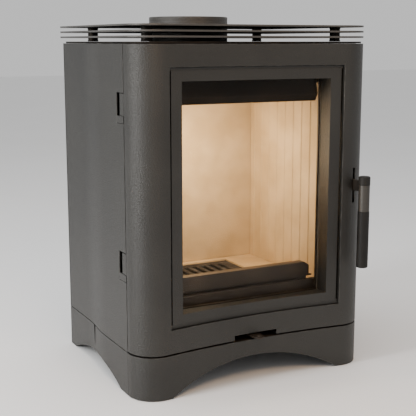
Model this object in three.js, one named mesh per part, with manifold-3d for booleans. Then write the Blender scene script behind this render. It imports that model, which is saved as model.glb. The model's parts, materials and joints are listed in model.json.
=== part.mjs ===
// A small free-standing wood burning stove of welded sheet steel.
//
// Frame: millimetres, +Z up, +X to the stove's left-to-right as seen from the front, +Y to the rear.
// The origin is the middle of the footprint, handle included, at floor level.
// Inside the casing group y = 0 is the front-most line of the door, and y grows to the rear.

import * as THREE from 'three';
import { mergeVertices } from 'three/addons/utils/BufferGeometryUtils.js';
import Module from 'manifold-3d';

const wasm = await Module();
wasm.setup();

// ---------------------------------------------------------------- driving dimensions
const clearance = 0.3;              // between pieces that touch
const sheet = 3;                    // outer sheet steel
const boilerPlate = 4;              // firebox steel
const framePlate = 5;               // front frame that the door seals against

// Overall
const width = 460;
const casingDepth = 360;            // door front to rear panel
const plinthHeight = 76;
const casingHeight = 515;           // plinth top to the top edge of the door and side panels
const collarStand = 17.8;           // flue collar above the upper thin plate

// Plan shape of the door and casing
const cornerRadius = 46;
const frontHollow = 13;             // how far the door face curves in at its middle
const seamY = 50;                   // joint between the door and the side panels
const seamGap = 2;
const waistDepth = 7.6;             // how far the side walls step in towards the rear
const waistStart = 150;
const waistFromRear = 98;           // end of the step, from the rear panel

// Plinth arches, each from foot to foot
const frontFoot = 62;               // from the side surface
const frontArchRise = 47;
const sideFootFront = 82;           // from the door front
const sideFootRear = 27;            // from the rear panel
const sideArchRise = 28;
const rearFoot = 52;
const rearArchRise = 30;
const slitFromRear = 140;           // bend relief in the plinth sides
const slitWidth = 9;
const slitTipWidth = 0.8;
const slitLength = 38;

// Top: three thin plates on columns, with the flue collar through them
const topPlateInset = 4;
const platePitch = 9.3;
const plateCount = 3;
const firstPlateRise = 6.3;         // top plate to the underside of the lowest thin plate
const plateCorner = 8;              // rear corners of the thin plates
const columnRadius = 10;
const columnFront = { fromSide: 45, y: 56 };
const columnRear = { fromSide: 52, fromRear: 42 };
const collarRadius = 75;
const collarWall = 3;
const collarFlange = 4;
const collarFromRear = 84;          // collar centre to the rear panel
const collarHoleGap = 1;

// Door
const doorGap = 3;                  // plinth to door
const doorSheet = 3;
const doorFlangeRear = 45.2;        // rear edge of the door's top and bottom flanges
const innerPlateThickness = 4;
const innerPlateFromSide = 16;
const innerPlateMargin = 5;         // inner plate to the door's top and bottom edges
const recessBorder = { sides: 60, bottom: 41, top: 37 };
const recessWallRear = 22;
const windowRecess = 4;             // door face to window frame face
const windowInset = { sides: 4, bottom: 7, top: 5 };
const windowBorder = { sides: 20.5, bottom: 16, top: 18 };
const returnWall = 3;
const stripDrop = 1;                // the strips above and below the window frame sit lower
const glassFront = 36;
const glassThickness = 4;
const glassOverlap = 10;
const lugLength = 20;               // straps that hold the window frame to the inner plate
const lugFromEnd = 40;
const gasketWidth = 6;
const ropeThickness = 5.9;
const ropeWidth = 9;
const ropeAround = 10;              // rope centre line outside the firebox mouth

// Hinges: a fixed lug below and a moving knuckle above, in a notch of the left side panel
const hingeInset = 6;               // side surface to pin centre
const hingeBehindSeam = 15;
const hingePinRadius = 3;
const hingePlay = 0.7;              // lug to the notch edges and to the knuckle above it
const notchHeight = 50;
const notchDepth = 29;              // behind the panel's front edge
const lowerNotchRise = 122;         // above the plinth
const upperNotchDrop = 128;         // below the casing top
const lugHeight = 11.6;
const bracketDepth = 36;
const bracketMargin = 8;
const knuckleReach = 10;

// Latch
const latchFromSide = 34;
const latchY = 26;
const latchRise = 264;              // above the plinth
const leverThickness = 4;
const leverHalfHeight = 10;
const slotWidth = 5.4;
const slotReach = { down: 33, up: 30.5 };
const shaftRadius = 5;
const shaftEyeWall = 4;             // metal around the shaft in the bracket's ears
const earSheet = 3;
const bracketAround = 8;            // bracket base beyond the hook's slot
const hookGap = 7;                  // lever to hook, along the shaft
const hookReach = { down: 38, up: 22 };
const catchPin = { y: 50, z: 9, radius: 4 };      // from the latch shaft
const catchPlate = { thickness: 3, behindPin: 14, halfHeight: 16 };
const hookTop = -1.5;               // top of the hook's arm, from the latch shaft
const hookDepth = 10;
const hookCorner = 2.5;
const hookShoulder = 4;             // rise of the hook's back towards the shaft
const clawRise = 5.9;               // claw above the hook's top edge
const clawY = [56.5, 63];
const handle = { y: -29.5, radius: 10.5, coreRadius: 4.5, down: 147, up: 19, endWall: 4, collarStep: 0.4 };
const gripLength = 103;
const capLength = 16;

// Firebox and front frame
const frameFront = 56;
const frameFromSide = 27;
const frameMargin = { bottom: 2, top: 3 };
const mouthBorder = { sides: 35, bottom: 26.5, top: 42 };
const firebox = { fromSide: 30, fromRear: 5, above: 24, below: 9 };
const liningThickness = 24;
const liningFront = 80;
const liningBelow = 62;             // firebox top to lining top
const ribPitch = 29;
const ribHeight = 1.6;
const ribWidth = 5;
const brickHeight = 41.4;
const brickStart = 5;               // floor bricks behind the front frame
const baffleThickness = 20;
const baffleFront = 112;
const wellFromSide = 105;           // ash well, from the firebox wall
const wellFromRear = 51;
const grateLedge = 9;
const grateDrop = 3;
const grateThickness = 8;
const grateFront = 96;
const grateSlot = 9;
const grateSlotPitch = 18.9;
const grateRim = 20;
const grateSlotsPerSide = 4;
const ashPanWall = 2;
const ashPanHeight = 20;
const ashPanRunner = { width: 8, height: 6 };
const ashPanGap = 2;
const apron = { fromMouth: 8, front: 62, up: 10.3, lip: 10 };
const retainer = {
  fromMouth: 16,
  front: 74,
  bottom: 13.8,                     // above the hearth
  height: 27.5,
  flange: 16,
  chamfer: 11,
  cornerDrop: 7.15,                 // height of the chamfer
  foot: 6,
  setBack: 6,                       // skirt behind the plate
};
const washBar = { fromMouth: 16, front: 58, depth: 10, sheet: 1.6, below: 6, heights: [0, 34.7, 39.2, 51.2] };
const washHanger = { from: 14, width: 20, rise: 14, foot: 4 };

// Primary air: lever and slide under the firebox
const leverNotch = { half: 43, height: 12 };
const slideThickness = 3;
const slideRise = 5;                // above the plinth
const slideHalf = 105;
const slideY = [78, 124];
const slideBorder = 8;
const slideGuide = { width: 8, inner: 60, overFront: 5, overRear: 3 };
const tongueHalf = 11;
const tongueReach = 19;             // in front of the middle of the door face
const tongueHole = { radius: 4, fromTip: 8 };
const slideTravel = 27;
const portHalf = 23;
const portPitch = 104;
const upperPort = { half: 60, y: [88, 126] };
const airBox = { half: 140, front: 66, length: 196, behindSlide: 10 };
const spigot = { y: 205, radius: 50, wall: 2, flange: 10, length: 30 };

// Rear panel vents
const vent = { pitch: 32, half: 4, length: 55, perSide: 5, fromBottom: 33, fromTop: 91 };

// Facets
const cornerSteps = 12;
const hollowSteps = 16;
const waistSteps = 8;
const archSteps = 20;

// ---------------------------------------------------------------- values worked out from them
const halfWidth = width / 2;
const casingTop = plinthHeight + casingHeight;
const casingOrigin = (casingDepth + handle.y - handle.radius) / 2;
const cornerCentreX = halfWidth - cornerRadius;
const hollowReach = cornerRadius - frontHollow;
const hollowRadius = (cornerCentreX ** 2 + hollowReach ** 2 - cornerRadius ** 2) / (2 * frontHollow);
const hollowCentreY = frontHollow - hollowRadius;
const hollowAngle = Math.atan2(cornerCentreX, cornerRadius - hollowCentreY);
const waistEnd = casingDepth - waistFromRear;
const rearPanelFront = casingDepth - sheet;

const doorBottom = plinthHeight + doorGap;
const doorTop = casingTop - clearance;
const doorSeam = seamY - seamGap / 2;
const panelBottom = plinthHeight + 1;
const panelFront = seamY + seamGap / 2;
const innerPlateFront = doorFlangeRear + clearance;
const innerPlateRear = innerPlateFront + innerPlateThickness;
const innerPlateHalf = halfWidth - innerPlateFromSide;

const topPlateBottom = casingTop + clearance;
const topPlateTop = topPlateBottom + sheet;
const thinPlateBottom = topPlateTop + firstPlateRise;
const upperPlateBottom = thinPlateBottom + (plateCount - 1) * platePitch;
const collarTop = upperPlateBottom + sheet + collarStand;
const collarY = casingDepth - collarFromRear;

const recess = {
  half: halfWidth - recessBorder.sides,
  bottom: doorBottom + recessBorder.bottom,
  top: casingTop - recessBorder.top,
};
const windowFace = {
  half: recess.half - windowInset.sides,
  bottom: recess.bottom + windowInset.bottom,
  top: recess.top - windowInset.top,
};
const opening = {
  half: windowFace.half - windowBorder.sides,
  bottom: windowFace.bottom + windowBorder.bottom,
  top: windowFace.top - windowBorder.top,
};
const glassHalf = opening.half + glassOverlap;

const frameRear = frameFront + framePlate;
const frame = {
  half: halfWidth - frameFromSide,
  bottom: plinthHeight + frameMargin.bottom,
  top: casingTop - frameMargin.top,
};
const mouth = {
  half: frame.half - mouthBorder.sides,
  bottom: frame.bottom + mouthBorder.bottom,
  top: frame.top - mouthBorder.top,
};
const shell = {
  half: halfWidth - firebox.fromSide,
  rear: casingDepth - firebox.fromRear,
  bottom: plinthHeight + firebox.above,
  top: casingTop - firebox.below,
};
const shellInside = shell.half - boilerPlate;
const shellFloor = shell.bottom + boilerPlate;
const liningFace = shellInside - clearance - liningThickness;
const liningRear = shell.rear - boilerPlate - clearance;
const liningTop = shell.top - liningBelow;
const hearth = shellFloor + clearance + brickHeight;
const grateTop = hearth - grateDrop;
const ashWell = { half: shell.half - wellFromSide, rear: shell.rear - wellFromRear };

const hingeX = -(halfWidth - hingeInset);
const hingeY = seamY + hingeBehindSeam;
const notchFloors = { lower: plinthHeight + lowerNotchRise, upper: casingTop - upperNotchDrop };

const latchX = halfWidth - latchFromSide;
const latchZ = plinthHeight + latchRise;
const leverSide = leverThickness / 2;
const hookX = [latchX + leverSide + hookGap, latchX + leverSide + hookGap + leverThickness];
const hookSlotZ = [latchZ - hookReach.down, latchZ + hookReach.up];
const handleBottom = latchZ - handle.down;
const handleTop = latchZ + handle.up;

const slideBottom = plinthHeight + slideRise;
const noseY = frontHollow;          // the middle of the door face

// ---------------------------------------------------------------- finishes
const paint = (name, color, roughness, metalness, extra = {}) =>
  new THREE.MeshStandardMaterial({ name, color, roughness, metalness, ...extra });

const finish = {
  graphite: paint('graphite_paint', 0x56554f, 0.5, 0.35),
  darkSteel: paint('dark_steel', 0x2b2a27, 0.6, 0.5),
  iron: paint('cast_iron', 0x33312e, 0.75, 0.4),
  vermiculite: paint('vermiculite', 0xd2b996, 0.95, 0),
  satin: paint('satin_steel', 0x8a8781, 0.35, 0.9),
  grip: paint('grip', 0x2d2c28, 0.55, 0.1),
  rope: paint('rope', 0x3a3936, 1, 0),
  glass: paint('glass', 0x4a4a46, 0.05, 0, { transparent: true, opacity: 0.3 }),
};

// ---------------------------------------------------------------- solid helpers
/** Turns a closed geometry into a solid for joining and cutting. */
function solid(geometry) {
  geometry.deleteAttribute('normal');
  geometry.deleteAttribute('uv');
  const merged = mergeVertices(geometry, 1e-4);
  return new wasm.Manifold(new wasm.Mesh({
    numProp: 3,
    vertProperties: new Float32Array(merged.attributes.position.array),
    triVerts: new Uint32Array(merged.index.array),
  }));
}

/** Turns a solid back into a geometry with flat faces. */
function geometryOf(body) {
  const mesh = body.getMesh();
  const geometry = new THREE.BufferGeometry();
  geometry.setAttribute('position', new THREE.BufferAttribute(mesh.vertProperties, 3));
  geometry.setIndex(new THREE.BufferAttribute(mesh.triVerts, 1));
  const flat = geometry.toNonIndexed();
  flat.computeVertexNormals();
  return flat;
}

/** A block between two corners. */
function block([x0, x1], [y0, y1], [z0, z1]) {
  const geometry = new THREE.BoxGeometry(x1 - x0, y1 - y0, z1 - z0);
  geometry.translate((x0 + x1) / 2, (y0 + y1) / 2, (z0 + z1) / 2);
  return solid(geometry);
}

/** An outline run out by a depth along +Z. */
const extruded = (points, depth) =>
  new THREE.ExtrudeGeometry(new THREE.Shape(points), { depth, bevelEnabled: false });

/** A plan outline (x, y) raised from z0 to z1. */
function prismZ(points, z0, z1) {
  const geometry = extruded(points, z1 - z0);
  geometry.translate(0, 0, z0);
  return solid(geometry);
}

/** A front outline (x, z) run from y0 to y1. */
function prismY(points, y0, y1) {
  const geometry = extruded(points, y1 - y0);
  geometry.rotateX(Math.PI / 2);
  geometry.translate(0, y1, 0);
  return solid(geometry);
}

/** A side outline (y, z) run from x0 to x1. */
function prismX(points, x0, x1) {
  const geometry = extruded(points, x1 - x0);
  geometry.rotateX(Math.PI / 2);
  geometry.rotateZ(Math.PI / 2);
  geometry.translate(x0, 0, 0);
  return solid(geometry);
}

/** An upright cylinder. */
function cylinderZ(x, y, radius, z0, z1, sides = 24) {
  const geometry = new THREE.CylinderGeometry(radius, radius, z1 - z0, sides);
  geometry.rotateX(Math.PI / 2);
  geometry.translate(x, y, (z0 + z1) / 2);
  return solid(geometry);
}

/** A cylinder lying along X. */
function cylinderX(y, z, radius, x0, x1, sides = 24) {
  const geometry = new THREE.CylinderGeometry(radius, radius, x1 - x0, sides);
  geometry.rotateZ(Math.PI / 2);
  geometry.translate((x0 + x1) / 2, y, z);
  return solid(geometry);
}

/** An upright turned piece from a profile of (radius, z) that closes on itself or on the axis. */
function turned(profile, sides = 32) {
  const points = profile.map(([radius, z]) => new THREE.Vector2(radius, z));
  const geometry = new THREE.LatheGeometry(points, sides);
  geometry.rotateX(Math.PI / 2);
  return solid(geometry);
}

const point = (x, y) => new THREE.Vector2(x, y);
const union = (...parts) => parts.reduce((whole, part) => whole.add(part));
const cut = (body, ...tools) => tools.reduce((whole, tool) => whole.subtract(tool), body);

/** A rectangular ring in the front plane, run from y0 to y1. */
function frameRing(outer, inner, y0, y1) {
  return cut(
    block([-outer.half, outer.half], [y0, y1], [outer.bottom, outer.top]),
    block([-inner.half, inner.half], [y0 - 1, y1 + 1], [inner.bottom, inner.top]),
  );
}

/** Grows a {half, bottom, top} rectangle on every side. */
const grown = (box, by) => ({ half: box.half + by, bottom: box.bottom - by, top: box.top + by });

/** Names a piece and adds it to its moving group. */
function place(group, name, body, material) {
  const mesh = new THREE.Mesh(geometryOf(body), material);
  mesh.name = name;
  group.add(mesh);
  return mesh;
}

/** Both mirrored copies of a piece that is drawn on the +X side. */
function placePair(group, name, body, material) {
  place(group, `${name}_right`, body, material);
  place(group, `${name}_left`, body.mirror([1, 0, 0]), material);
}

// ---------------------------------------------------------------- plan outlines
/** The door's front line from the left seam to the right one, moved inwards by an inset. */
function frontLine(inset, endY) {
  const right = [];
  const radius = cornerRadius - inset;
  for (let step = 0; step <= cornerSteps; step += 1) {
    const angle = -Math.PI / 2 - hollowAngle + (step / cornerSteps) * (Math.PI / 2 + hollowAngle);
    right.push(point(cornerCentreX + radius * Math.cos(angle), cornerRadius + radius * Math.sin(angle)));
  }
  right.push(point(halfWidth - inset, endY));
  const middle = [];
  for (let step = 1; step < hollowSteps; step += 1) {
    const angle = -hollowAngle + (step / hollowSteps) * 2 * hollowAngle;
    const reach = hollowRadius + inset;
    middle.push(point(reach * Math.sin(angle), hollowCentreY + reach * Math.cos(angle)));
  }
  const left = right.map((p) => point(-p.x, p.y)).reverse();
  return [...left, ...middle, ...right];
}

/** How far the side wall stands from the middle at a depth y. */
function sideX(y, inset) {
  const share = THREE.MathUtils.clamp((y - waistStart) / (waistEnd - waistStart), 0, 1);
  return halfWidth - inset - waistDepth * (1 - Math.cos(Math.PI * share)) / 2;
}

/** The right side wall's line from y0 to y1, moved inwards by an inset. */
function sideLine(inset, y0, y1) {
  const line = [point(sideX(y0, inset), y0)];
  for (let step = 0; step <= waistSteps; step += 1) {
    const y = waistStart + (step / waistSteps) * (waistEnd - waistStart);
    line.push(point(sideX(y, inset), y));
  }
  line.push(point(sideX(y1, inset), y1));
  return line;
}

/** The closed outline of the casing, with its waist, moved inwards by an inset. */
function casingOutline(inset, rearY) {
  const right = sideLine(inset, seamY, rearY);
  const left = right.map((p) => point(-p.x, p.y)).reverse();
  return [...frontLine(inset, seamY - 1), ...right, ...left];
}

/** A bent sheet that follows a line and its own inset copy. */
const band = (outer, inner, z0, z1) => prismZ([...outer, ...inner.reverse()], z0, z1);

/** The line of an arch from one foot to the other, standing on z = 0. */
function archLine(start, end, rise) {
  const half = (end - start) / 2;
  const radius = (half * half + rise * rise) / (2 * rise);
  const spread = Math.asin(half / radius);
  const line = [point(start, -1)];
  for (let step = 0; step <= archSteps; step += 1) {
    const angle = -spread + (step / archSteps) * 2 * spread;
    line.push(point((start + end) / 2 + radius * Math.sin(angle), rise - radius + radius * Math.cos(angle)));
  }
  line.push(point(end, -1));
  return line;
}

// ---------------------------------------------------------------- moving groups
const stove = new THREE.Group();
const casing = new THREE.Group();
const door = new THREE.Group();
const latch = new THREE.Group();
const airControl = new THREE.Group();
stove.position.y = -casingOrigin;
stove.add(casing, door, latch, airControl);

// ---------------------------------------------------------------- plinth
function buildPlinth() {
  const front = band(frontLine(0, seamY - clearance), frontLine(sheet, seamY - clearance), 0, plinthHeight);
  const frontArchHalf = halfWidth - frontFoot;
  const frontArch = prismY(archLine(-frontArchHalf, frontArchHalf, frontArchRise), -1, seamY);
  place(casing, 'plinth_front', cut(front, frontArch), finish.graphite);

  const sideRear = rearPanelFront - clearance;
  const side = band(sideLine(0, seamY, sideRear), sideLine(sheet, seamY, sideRear), 0, plinthHeight);
  const sideArchPoints = archLine(sideFootFront, casingDepth - sideFootRear, sideArchRise);
  const sideArch = prismX(sideArchPoints, 0, halfWidth + 1);
  const slitY = casingDepth - slitFromRear;
  const slitFloor = plinthHeight - slitLength;
  const slit = prismX([
    point(slitY - slitTipWidth / 2, slitFloor),
    point(slitY + slitTipWidth / 2, slitFloor),
    point(slitY + slitWidth / 2, plinthHeight + 1),
    point(slitY - slitWidth / 2, plinthHeight + 1),
  ], 0, halfWidth + 1);
  placePair(casing, 'plinth_side', cut(side, sideArch, slit), finish.graphite);

  const rearHalf = sideX(casingDepth, 0);
  const rear = block([-rearHalf, rearHalf], [rearPanelFront, casingDepth], [0, plinthHeight]);
  const rearArchHalf = halfWidth - rearFoot;
  const rearArch = prismY(archLine(-rearArchHalf, rearArchHalf, rearArchRise), 0, casingDepth + 1);
  place(casing, 'plinth_rear', cut(rear, rearArch), finish.graphite);

  const plateTop = plinthHeight - clearance;
  const plateOutline = casingOutline(sheet + clearance, rearPanelFront - clearance);
  const plate = prismZ(plateOutline, plateTop - sheet, plateTop);
  const inlet = cylinderZ(0, spigot.y, spigot.radius - spigot.wall, plateTop - sheet - 1, plateTop + 1, 32);
  place(casing, 'base_plate', cut(plate, inlet), finish.darkSteel);
}

// ---------------------------------------------------------------- outer panels
/** The two hinge notches of the left panel, cut through the panel and its front flange. */
function hingeNotches() {
  return Object.values(notchFloors).map((floor) =>
    block([-halfWidth - 1, -frame.half], [0, panelFront + notchDepth], [floor, floor + notchHeight]));
}

function buildPanels() {
  const rear = rearPanelFront - clearance;
  const skin = band(sideLine(0, panelFront, rear), sideLine(sheet, panelFront, rear), panelBottom, casingTop);
  const flange = block(
    [frame.half + sheet, halfWidth - sheet / 2], [panelFront, panelFront + sheet],
    [panelBottom, casingTop],
  );
  const panel = skin.add(flange);
  const hookNotch = block([0, hookX[1] + 4], [0, frameFront + 1], hookSlotZ);
  place(casing, 'side_panel_right', cut(panel, hookNotch), finish.graphite);
  place(casing, 'side_panel_left', cut(panel.mirror([1, 0, 0]), ...hingeNotches()), finish.graphite);

  const rearHalf = sideX(casingDepth, 0);
  const rearPanel = block([-rearHalf, rearHalf], [rearPanelFront, casingDepth], [panelBottom, casingTop]);
  const slots = [];
  for (let index = -vent.perSide; index <= vent.perSide; index += 1) {
    const x = index * vent.pitch;
    for (const base of [panelBottom + vent.fromBottom, casingTop - vent.fromTop]) {
      slots.push(block([x - vent.half, x + vent.half], [0, casingDepth + 1], [base, base + vent.length]));
    }
  }
  place(casing, 'rear_panel', cut(rearPanel, ...slots), finish.graphite);
}

// ---------------------------------------------------------------- top
function columnPlaces() {
  const front = halfWidth - columnFront.fromSide;
  const rear = halfWidth - columnRear.fromSide;
  const rearY = casingDepth - columnRear.fromRear;
  return [
    ['front_right', front, columnFront.y],
    ['front_left', -front, columnFront.y],
    ['rear_right', rear, rearY],
    ['rear_left', -rear, rearY],
  ];
}

/** The outline of a thin top plate, as wide at the rear as at the front. */
function thinPlateOutline() {
  const right = [0, 30, 60, 90].map((degrees) => {
    const angle = THREE.MathUtils.degToRad(degrees);
    const x = halfWidth - plateCorner * (1 - Math.cos(angle));
    return point(x, casingDepth - plateCorner * (1 - Math.sin(angle)));
  });
  const left = right.map((p) => point(-p.x, p.y)).reverse();
  return [...frontLine(0, seamY), ...right, ...left];
}

function buildTop() {
  const collarHole = (z0, z1) => cylinderZ(0, collarY, collarRadius + collarHoleGap, z0 - 1, z1 + 1, 48);
  const topOutline = casingOutline(topPlateInset, casingDepth - topPlateInset);
  const topPlate = prismZ(topOutline, topPlateBottom, topPlateTop);
  place(casing, 'top_plate', cut(topPlate, collarHole(topPlateBottom, topPlateTop)), finish.darkSteel);

  ['lower', 'middle', 'upper'].forEach((level, index) => {
    const bottom = thinPlateBottom + index * platePitch;
    const top = bottom + sheet;
    const holes = bottom < upperPlateBottom
      ? columnPlaces().map(([, x, y]) => cylinderZ(x, y, columnRadius + clearance, bottom - 1, top + 1))
      : [];
    const plate = cut(prismZ(thinPlateOutline(), bottom, top), collarHole(bottom, top), ...holes);
    place(casing, `thin_plate_${level}`, plate, finish.graphite);
  });

  for (const [name, x, y] of columnPlaces()) {
    const height = upperPlateBottom - topPlateTop - 2 * clearance;
    const body = cylinderZ(0, 0, columnRadius, 0, height);
    const column = place(casing, `plate_column_${name}`, body, finish.darkSteel);
    column.position.set(x, y, topPlateTop + clearance);
  }

  const base = shell.top + clearance;
  const collar = turned([
    [collarRadius - collarWall, base],
    [collarRadius + collarFlange, base],
    [collarRadius + collarFlange, base + collarWall],
    [collarRadius, base + collarWall],
    [collarRadius, collarTop],
    [collarRadius - collarWall, collarTop],
    [collarRadius - collarWall, base],
  ], 48);
  place(casing, 'flue_collar', collar, finish.graphite).position.set(0, collarY, 0);
}

// ---------------------------------------------------------------- firebox
function buildFirebox() {
  const plate = frameRing(frame, mouth, frameFront, frameRear);
  const tongueSlot = block(
    [-leverNotch.half, leverNotch.half], [0, frameRear + 1],
    [slideBottom - 1, slideBottom + slideThickness + 1],
  );
  place(casing, 'front_frame', cut(plate, tongueSlot), finish.darkSteel);

  const shellFront = frameRear + clearance;
  const outer = block([-shell.half, shell.half], [shellFront, shell.rear], [shell.bottom, shell.top]);
  const inner = block(
    [-shellInside, shellInside], [0, shell.rear - boilerPlate],
    [shellFloor, shell.top - boilerPlate],
  );
  const flueHole = cylinderZ(0, collarY, collarRadius - collarWall, shell.top - 10, shell.top + 1, 48);
  const airHole = block([-upperPort.half, upperPort.half], upperPort.y, [shell.bottom - 1, shellFloor + 1]);
  place(casing, 'firebox_shell', cut(outer, inner, flueHole, airHole), finish.darkSteel);
}

/** A side lining with shallow vertical ribs on its fire side. */
function sideLining() {
  const outerX = liningFace + liningThickness;
  const line = [point(outerX, liningRear), point(outerX, liningFront), point(liningFace, liningFront)];
  const last = liningRear - liningThickness;
  for (let y = liningFront + ribPitch; y < last - ribWidth; y += ribPitch) {
    line.push(point(liningFace, y - ribWidth / 2));
    line.push(point(liningFace - ribHeight, y - ribWidth / 4));
    line.push(point(liningFace - ribHeight, y + ribWidth / 4));
    line.push(point(liningFace, y + ribWidth / 2));
  }
  line.push(point(liningFace, liningRear));
  return prismZ(line, hearth + clearance, liningTop);
}

function buildLining() {
  placePair(casing, 'lining_side', sideLining(), finish.vermiculite);

  const backHalf = liningFace - clearance;
  const back = block(
    [-backHalf, backHalf], [liningRear - liningThickness, liningRear],
    [hearth + clearance, liningTop],
  );
  place(casing, 'lining_back', back, finish.vermiculite);

  const floorHalf = shellInside - clearance;
  const floorFront = frameRear + clearance + brickStart;
  const slab = block([-floorHalf, floorHalf], [floorFront, liningRear], [shellFloor + clearance, hearth]);
  const well = block([-ashWell.half, ashWell.half], [0, ashWell.rear], [0, hearth + 1]);
  const ledgeZ = grateTop - grateThickness - clearance;
  const grateSeat = block(
    [-ashWell.half - grateLedge, ashWell.half + grateLedge],
    [grateFront - clearance, ashWell.rear + grateLedge], [ledgeZ, hearth + 1],
  );
  place(casing, 'lining_floor', cut(slab, well, grateSeat), finish.vermiculite);

  const baffleBottom = liningTop + clearance;
  const baffle = block(
    [-floorHalf, floorHalf], [baffleFront, liningRear],
    [baffleBottom, baffleBottom + baffleThickness],
  );
  place(casing, 'baffle', baffle, finish.vermiculite);
}

function buildGrate() {
  const half = ashWell.half + grateLedge - clearance;
  const rear = ashWell.rear + grateLedge - clearance;
  const plate = block([-half, half], [grateFront, rear], [grateTop - grateThickness, grateTop]);
  const slots = [];
  for (let index = -grateSlotsPerSide; index <= grateSlotsPerSide; index += 1) {
    const x = index * grateSlotPitch;
    const slotX = [x - grateSlot / 2, x + grateSlot / 2];
    slots.push(block(slotX, [grateFront + grateRim, rear - grateRim], [0, hearth]));
  }
  place(casing, 'grate', cut(plate, ...slots), finish.iron);
}

/** The ash pan, an open tray on two runners that let the air pass under it. */
function buildAshPan() {

  const half = ashWell.half - ashPanGap;
  const rear = ashWell.rear - ashPanGap;
  const front = apron.front + apron.lip + ashPanGap;
  const runnerZ = shellFloor + clearance;
  const bottom = runnerZ + ashPanRunner.height;
  const top = bottom + ashPanHeight;
  const tray = block([-half, half], [front, rear], [bottom, top]);
  const hollow = block(
    [-half + ashPanWall, half - ashPanWall], [front + ashPanWall, rear - ashPanWall],
    [bottom + ashPanWall, top + 1],
  );
  const runner = block([half - ashPanRunner.width, half], [front, rear], [runnerZ, bottom + 1]);
  const pan = union(cut(tray, hollow), cut(runner, hollow), cut(runner.mirror([1, 0, 0]), hollow));
  place(casing, 'ash_pan', pan, finish.darkSteel);
}

function buildRetainer() {
  const apronHalf = mouth.half - apron.fromMouth;
  const apronTop = hearth + apron.up;
  const face = block([-apronHalf, apronHalf], [apron.front, apron.front + sheet], [shellFloor + 2, apronTop]);
  const lip = block(
    [-apronHalf, apronHalf], [apron.front, apron.front + apron.lip],
    [apronTop - sheet, apronTop],
  );
  place(casing, 'ash_apron', face.add(lip), finish.darkSteel);

  const half = mouth.half - retainer.fromMouth;
  const topHalf = half - retainer.chamfer;
  const bottom = hearth + retainer.bottom;
  const top = bottom + retainer.height;
  const right = [
    point(half + retainer.foot, bottom), point(half + retainer.foot, bottom + sheet),
    point(half, bottom + sheet + 1), point(half, top - retainer.cornerDrop), point(topHalf, top),
  ];
  const left = right.map((p) => point(-p.x, p.y)).reverse();
  const rear = retainer.front + sheet;
  const plate = prismY([...right, ...left], retainer.front, rear);
  const flange = block(
    [-topHalf, topHalf], [retainer.front, retainer.front + retainer.flange],
    [top - sheet, top],
  );
  const skirtFront = rear + retainer.setBack;
  const skirtRear = skirtFront + sheet;
  const step = block([-half, half], [retainer.front, skirtRear], [bottom, bottom + sheet]);
  const skirt = block([-half, half], [skirtFront, skirtRear], [hearth + clearance, bottom + 1]);
  place(casing, 'log_retainer', union(plate, flange, step, skirt), finish.darkSteel);
}

function buildWashBar() {
  const thin = washBar.sheet;
  const half = mouth.half - washBar.fromMouth;
  const front = washBar.front;
  const rear = front + washBar.depth;
  const [top, edgeHigh, edgeLow, bottom] = washBar.heights.map((drop) => mouth.top - washBar.below - drop);
  const profile = [
    point(rear, top), point(front, edgeHigh), point(front, edgeLow), point(rear - sheet, bottom),
    point(rear, bottom + thin), point(front + sheet, edgeLow + thin), point(front + sheet, edgeHigh - thin),
    point(rear + sheet, top),
  ];
  const bar = prismX(profile, -half, half);
  const hanger = [half - washHanger.from - washHanger.width, half - washHanger.from];
  const hangerTop = mouth.top + washHanger.rise;
  const back = frameRear + clearance;
  const foot = block(hanger, [back, rear + sheet], [top - washHanger.foot, top + 1])
    .add(block(hanger, [back, back + sheet], [top - washHanger.foot, hangerTop]));
  place(casing, 'air_wash_bar', union(bar, foot, foot.mirror([1, 0, 0])), finish.darkSteel);
}

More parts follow.
